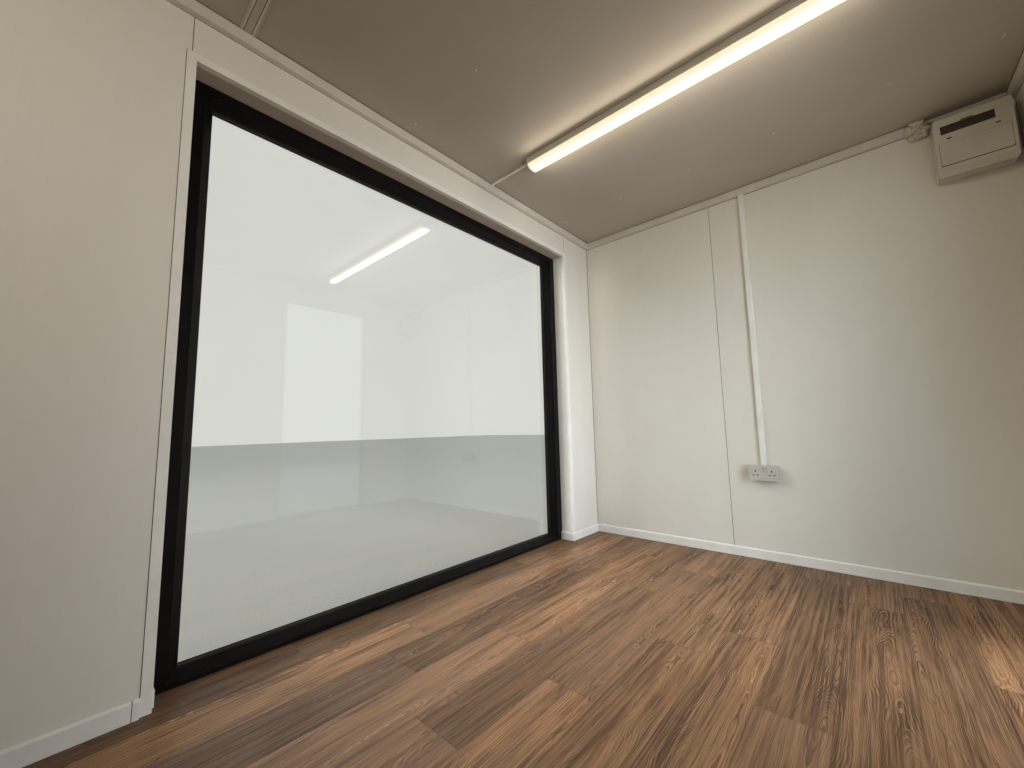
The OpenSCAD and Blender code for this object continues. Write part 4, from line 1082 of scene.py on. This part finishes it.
def lid_plate(radius, back, front, drop=0.0, margin_y=0.0, margin_z=0.0, edge=0.0):
    """A plate of the flap's outline, moved down and made larger where asked."""
    middle, half = (FLAP_LOW + FLAP_HIGH) / 2, (FLAP_HIGH - FLAP_LOW) / 2
    return plate_form(middle.y, middle.z - drop, half.y + margin_y, half.z + margin_z, radius,
                      back, front, edge)


def unit_lid():
    """The flap, with fine raised lines where a label would be."""
    lid = lid_plate(0.010, FLAP_LOW.x, FLAP_HIGH.x, edge=0.0012)
    half_line = 0.0007
    for start, end, drop in ((0.020, 0.056, 0.018), (0.024, 0.122, 0.024), (0.020, 0.048, 0.032)):
        z = FLAP_HIGH.z - drop
        block(lid, (FLAP_HIGH.x - 0.0002, FLAP_LOW.y + start, z - half_line),
              (FLAP_HIGH.x + 0.0004, FLAP_LOW.y + end, z + half_line), 0.0003, 1)
    made = piece("consumer_unit_lid", lid, "unit_white")
    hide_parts("consumer_unit_flap")


def unit_strip():
    """The rail that stands out under the flap."""
    inset = 0.005
    form = bmesh.new()
    block(form, (UNIT_HIGH.x - 0.001, UNIT_LOW.y + inset, UNIT_LOW.z + 0.0185),
          (FLAP_HIGH.x + 0.001, UNIT_HIGH.y - inset, FLAP_LOW.z - 0.0045), 0.0014, 3)
    piece("consumer_unit_strip", form, "unit_white")


def unit_seams_and_shade():
    """The dark lines round the flap, and between the cover and the box. Under the flap the line is
    wider, as painted shade below its lip.
    """
    form = lid_plate(0.011, UNIT_HIGH.x - 0.001, UNIT_HIGH.x + 0.0003, 0.0022, 0.0013, 0.0035)
    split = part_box("consumer_unit_box")[1].x
    out = Vector((0, 0.0002, 0.0002))
    low, high = UNIT_LOW - out, UNIT_HIGH + out
    block(form, (split - 0.0012, low.y, low.z), (split + 0.0006, high.y, high.z))
    piece("consumer_unit_seams_and_shade", form, "breaker_grey", SHADOW)


def breaker_switches():
    """A row of breakers on their rail, each with its toggle."""
    count = 9
    pitch = (ROW_HIGH.y - ROW_LOW.y) / count
    body, toggle = pitch * 0.46, pitch * 0.22
    form = bmesh.new()
    block(form, ROW_LOW, (ROW_LOW.x + 0.004, ROW_HIGH.y, ROW_HIGH.z))
    for k in range(count):
        y = ROW_LOW.y + (k + 0.5) * pitch
        block(form, (ROW_LOW.x + 0.003, y - body, ROW_LOW.z + 0.001),
              (ROW_HIGH.x - 0.002, y + body, ROW_HIGH.z - 0.001), 0.0008)
        block(form, (ROW_HIGH.x - 0.003, y - toggle, ROW_LOW.z + 0.014),
              (ROW_HIGH.x + 0.001, y + toggle, ROW_LOW.z + 0.024), 0.0010)
    made = piece("breaker_switches", form, "breaker_grey")
    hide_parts("breaker_row")


def breaker_window():
    """The smoked pane over the breakers, and the tab that lifts it."""
    back, margin = UNIT_HIGH.x - 0.003, 0.0005
    pane, tab = bmesh.new(), bmesh.new()
    block(pane, (back, ROW_LOW.y - margin, ROW_LOW.z - margin),
          (UNIT_HIGH.x - 0.0012, ROW_HIGH.y + margin, ROW_HIGH.z + margin), 0.0005, 1)
    piece("breaker_window", pane, "breaker_grey", SMOKED)
    middle = (ROW_LOW.y + ROW_HIGH.y) / 2
    block(tab, (back, middle - 0.019, ROW_HIGH.z - 0.003),
          (UNIT_HIGH.x + 0.0022, middle + 0.021, ROW_HIGH.z + 0.0055), 0.0012)
    piece("breaker_window_tab", tab, "breaker_grey", TAB_GREY)


def cover_screws():
    """The two sunk screws under the window, each with a raised rim and its recess painted as a dark
    block of shade.
    """
    front, drop, places = UNIT_HIGH.x, 0.1055, (0.0465, 0.1965)
    z = UNIT_HIGH.z - drop
    recess_shades, rims = bmesh.new(), bmesh.new()
    for y in [UNIT_LOW.y + place for place in places]:
        add(rims, plate_form(y, z, 0.0100, 0.0046, 0.0044, front - 0.001, front + 0.0006, 0.0005))
        add(recess_shades, plate_form(y, z, 0.0084, 0.0030, 0.0029, front, front + 0.0009))
    piece("cover_screw_rims", rims, "unit_white")
    piece("cover_screw_recess_shades", recess_shades, "breaker_grey", HOLLOW_SHADE)


def chamfered_cover():
    """The cover with its lower front edge cut back on a slope and its front edges rounded."""
    low, high = UNIT_LOW, UNIT_HIGH
    slope = Vector((1.0, 0.0, -1.25)).normalized()
    slope_top = (high.x, 0, low.z + 0.018)
    form = copy_of("consumer_unit_cover")
    cut = bmesh.ops.bisect_plane(form, geom=form.verts[:] + form.edges[:] + form.faces[:],
                                 plane_co=slope_top, plane_no=slope, clear_outer=True)
    rim = [g for g in cut["geom_cut"] if isinstance(g, bmesh.types.BMEdge)]
    bmesh.ops.edgeloop_fill(form, edges=rim)

    def at_front(edge):
        return any(v.co.x > high.x - 1e-5 for v in edge.verts)

    def round_window(edge):
        return all(low.y + 0.02 < v.co.y < high.y - 0.02 and low.z + 0.15 < v.co.z < high.z - 0.03
                   for v in edge.verts)

    bevelled(form, 0.0035, 4, (25, 100), 0.004, lambda e: at_front(e) and not round_window(e))
    made = piece("consumer_unit_front", form, "unit_white")
    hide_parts("consumer_unit_cover")


def crumpled_film():
    """Stretch film bunched round the cables where the trunking ends, gathered like a flower."""
    low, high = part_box("taped_cable_entry")
    middle, half = (low + high) / 2, (high - low) / 2
    gather, petal_count = Vector((0.35, 0.30, 0.10)), 5
    form = bmesh.new()
    bmesh.ops.create_icosphere(form, subdivisions=6, radius=1.0)
    for vertex in form.verts:
        out = vertex.co.normalized()
        away = out - gather
        turn = math.atan2(away.z, away.y)
        bend = noise.noise(out * 1.6 + Vector((4.1, 2.7, 0.3)))
        petals = abs(math.sin(turn * petal_count / 2 + 2.6 * bend + 0.4)) ** 0.8
        swell = noise.noise(out * 1.3 + Vector((3.1, 0.4, 7.7)))
        creases = 1 - abs(noise.noise(out * 6.5 + Vector((0.7, 2.9, 4.1)))) * 2.4
        reach = 0.52 + 0.22 * swell + 0.50 * petals + 0.06 * creases
        spread = Vector((out.x * 1.1, out.y * 1.15, out.z * 1.15)) * reach
        vertex.co = [m + h * max(-1.0, min(1.0, s)) for m, h, s in zip(middle, half, spread)]
    made = piece("crumpled_film", form, "white_tape", sharp=180)
    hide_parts("taped_cable_entry")


# Window


def window_frame():
    for node in ("window_frame_jambs", "window_frame_rails", "glazing_beads"):
        softened(node, 0.0012)
    softened("glass_spacer", 0.0006)
    low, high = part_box("glazing_beads")
    glass_low, glass_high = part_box("window_glass")
    bead, half, proud = 0.027, 0.003, 0.0025
    sight_low = (low.x + bead, low.z + bead)
    sight_high = (high.x - bead, high.z - bead)
    form = bmesh.new()
    for face, out in ((glass_high.y, 1), (glass_low.y, -1)):
        moulding(form, [(-half, face), (-half, face + out * proud), (0.0012, face + out * proud),
                        (0.0026, face + out * 0.0012), (half, face)], sight_low, sight_high)
    piece("glazing_gaskets", form, "black_frame", RUBBER, sharp=80)


# Door


DOOR_LOW, DOOR_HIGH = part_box("door_threshold")
DOOR_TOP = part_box("door_frame_head")[1].z - 0.05


def doorway():
    for node, radius in (("door_frame_jambs", 0.0018), ("door_frame_head", 0.0018),
                         ("door_threshold", 0.0015), ("door_leaf", 0.0022)):
        softened(node, radius)
    for node in ("frame_hinges", "leaf_hinges"):
        softened(node, 0.0008, least=0.004)
    softened("door_handles", 0.0012, least=0.004, bends=(45, 135))
    door_seal()
    lock_cylinders()


def door_seal():
    """Black bubble seal on the stop, which the shut leaf presses."""
    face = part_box("door_frame_jambs")[0].y + 0.048
    back, front = face - 0.0005, face + 0.0045
    near, far = 0.005, 0.015
    form = bmesh.new()
    foot, radius = DOOR_LOW.z + 0.06, 0.0020
    for edge, side in ((DOOR_LOW.x, -1), (DOOR_HIGH.x, 1)):
        block(form, (edge + side * near, back, foot), (edge + side * far, front, DOOR_TOP + far),
              radius, 3)
    block(form, (DOOR_LOW.x - near, back, DOOR_TOP + near),
          (DOOR_HIGH.x + near, front, DOOR_TOP + far), radius, 3)
    piece("door_frame_seal", form, "black_frame", RUBBER)


def lock_cylinders():
    """A key cylinder low on each handle plate, with its slot painted as a dark block of shade."""
    low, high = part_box("door_handles")
    leaf_low, leaf_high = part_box("door_leaf")
    radius, rise = 0.0085, 0.0088
    half_slot, slot_reach = 0.0007, 0.0042
    rosettes, slot_shades = bmesh.new(), bmesh.new()
    for face, out in ((leaf_low.x, -1), (leaf_high.x, 1)):
        centre = Vector((face, high.y - 0.021, low.z + 0.045))
        turned(rosettes, centre, (out, 0, 0),
               [(0, radius), (rise, radius), (rise + 0.0008, radius - 0.0009)], 28)
        block(slot_shades, centre + Vector((out * rise, -half_slot, -slot_reach)),
              centre + Vector((out * (rise + 0.0011), half_slot, slot_reach)))
    piece("lock_cylinders", rosettes, "handle_metal", body="door")
    piece("key_slot_shades", slot_shades, "handle_metal", HOLLOW_SHADE, "door")


dress_solids()
steel_module()
ceiling_trunking()
small_trunking()
screw_caps()
shadow_joints()
room_trim()
batten_lights()
wall_socket()
consumer_unit()
crumpled_film()
window_frame()
doorway()


# Pale floor, sky and lamps


def backdrop():
    ground = bmesh.new()
    bmesh.ops.create_grid(ground, x_segments=8, y_segments=8, size=40)
    mesh = bpy.data.meshes.new("studio_floor")
    ground.to_mesh(mesh)
    ground.free()
    floor = bpy.data.objects.new("studio_floor", mesh)
    bpy.context.scene.collection.objects.link(floor)

    def lay(w, place):
        fine = w.grain(place, 3.0, 4.0)
        pale = w.blend(fine, paint(206, 203, 196), paint(212, 209, 202))
        soft = w.add("LightPath", {}).outputs["Is Diffuse Ray"]
        return {"Base Color": w.blend(soft, pale, paint(104, 92, 76))}

    mesh.materials.append(finish("studio_floor", lay, roughness=0.9))


def sky():
    """Soft even light, and a pale cloudy tone where the camera or glass looks out."""
    world = bpy.data.worlds.new("pale_sky")
    bpy.context.scene.world = world
    world.use_nodes = True
    w = Wiring(world.node_tree)
    light = world.node_tree.nodes["Background"]
    light.inputs["Color"].default_value = (0.93, 0.97, 1.0, 1.0)
    light.inputs["Strength"].default_value = 0.62
    shown = w.add("Background", {"Color": paint(229, 227, 221), "Strength": 1.0})
    path = w.add("LightPath", {}).outputs
    seen = w.maths("MAXIMUM", path["Is Camera Ray"],
                   w.maths("MAXIMUM", path["Is Glossy Ray"], path["Is Transmission Ray"]))
    mixed = w.add("MixShader", {0: seen, 1: light.outputs[0], 2: shown.outputs[0]})
    w.feed(world.node_tree.nodes["World Output"].inputs["Surface"], mixed.outputs[0])


def lamp(name, place, towards, width, height, radiance, tint, spread=180):
    """A soft panel that only lights. Its power follows from how bright each part of it is."""
    panel = bpy.data.lights.new(name, "AREA")
    panel.shape = "RECTANGLE"
    panel.size, panel.size_y = width, height
    panel.energy = radiance * math.pi * width * height
    panel.color = tint
    panel.spread = math.radians(spread)
    stand = bpy.data.objects.new(name, panel)
    bpy.context.scene.collection.objects.link(stand)
    stand.location = place
    stand.rotation_euler = (Vector(towards) - Vector(place)).to_track_quat("-Z", "Y").to_euler()
    stand.visible_camera = False
    stand.visible_glossy = False
    stand.visible_transmission = False


def daylight(name, low, high, y, inward, grid, tilt, turn, radiance, tint, spread):
    """Daylight through an opening, from a grid of panels.

    Each panel tilts down and turns towards the fitted end by an angle in degrees.
    """
    columns, rows = grid
    wide, tall = (high[0] - low[0]) / columns, (high[1] - low[1]) / rows
    down, aside = math.tan(math.radians(tilt)), math.tan(math.radians(turn))
    for k in range(columns * rows):
        x = low[0] + wide * (k % columns + 0.5)
        z = low[1] + tall * (k // columns + 0.5)
        lamp(f"{name}_{k}", (x, y, z), (x - aside, y + inward, z - down), wide, tall, radiance,
             tint, spread)


def window_daylight():
    """Soft daylight through the picture window, and past the stub of wall to the end wall's edge."""
    low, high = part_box("window_glass")
    inside, sill, jamb = -1.12, low.z + 0.02, low.x + 0.02
    white = (0.99, 0.98, 0.94)
    daylight("day_by_window", (jamb, sill), (high.x - 0.02, high.z), inside, 1, (1, 6), 38, 0, 0.95,
             white, 115)
    daylight("day_past_stub", (jamb, sill), (jamb + 0.10, high.z), inside, 1, (1, 3), 0, 80, 0.65,
             white, 75)


def doorway_daylight():
    """Daylight through the open doorway: from ahead, cool from the side, warm off the ground."""
    low, high = (DOOR_LOW.x, FLOOR_Z + 0.01), (DOOR_HIGH.x, DOOR_TOP)
    daylight("day_by_door", low, high, 1.06, -1, (1, 4), 15, 0, 3.0, (0.89, 0.98, 1.14), 100)
    daylight("cool_light_by_door", low, high, 1.0, -1, (2, 1), 0, 38, 0.26, (0.68, 1.0, 1.36), 95)
    daylight("ground_light_by_door", (DOOR_LOW.x, FLOOR_Z + 0.02), (DOOR_HIGH.x, FLOOR_Z + 1.0), 1.0,
             -1, (1, 4), -40, 0, 2.0, (1.0, 0.92, 0.77), 120)


def batten_glow():
    """The light that the opal covers throw to both sides, just under the ceiling."""
    middle = (LIGHT_LOW.y + LIGHT_HIGH.y) / 2
    out, drop, aim_drop = 0.042, 0.052, 0.37
    length, width = 1.46, 0.026
    for light in (-1, 1):
        for side in (-1, 1):
            x = light * LIGHT_X
            lamp(f"batten_glow_{light}_{side}", (x + side * out, middle, CEILING_Z - drop),
                 (x + side, middle, CEILING_Z - aim_drop), length, width, 16.2, (1.0, 0.91, 0.74))


backdrop()
sky()
window_daylight()
doorway_daylight()
batten_glow()
lamp("far_half_light", (1.35, 0.75, 2.0), (0.05, -1.12, 2.0), 0.7, 0.5, 3.1, (1.0, 0.95, 0.87), 75)
lamp("outside_key", (5.5, -7.5, 6.5), (0, 0, 1.2), 5.0, 5.0, 4.0, (1.0, 0.97, 0.93))
lamp("outside_fill", (-6.5, 7.0, 5.0), (0, 0, 1.2), 5.0, 5.0, 2.6, (0.95, 0.97, 1.0))
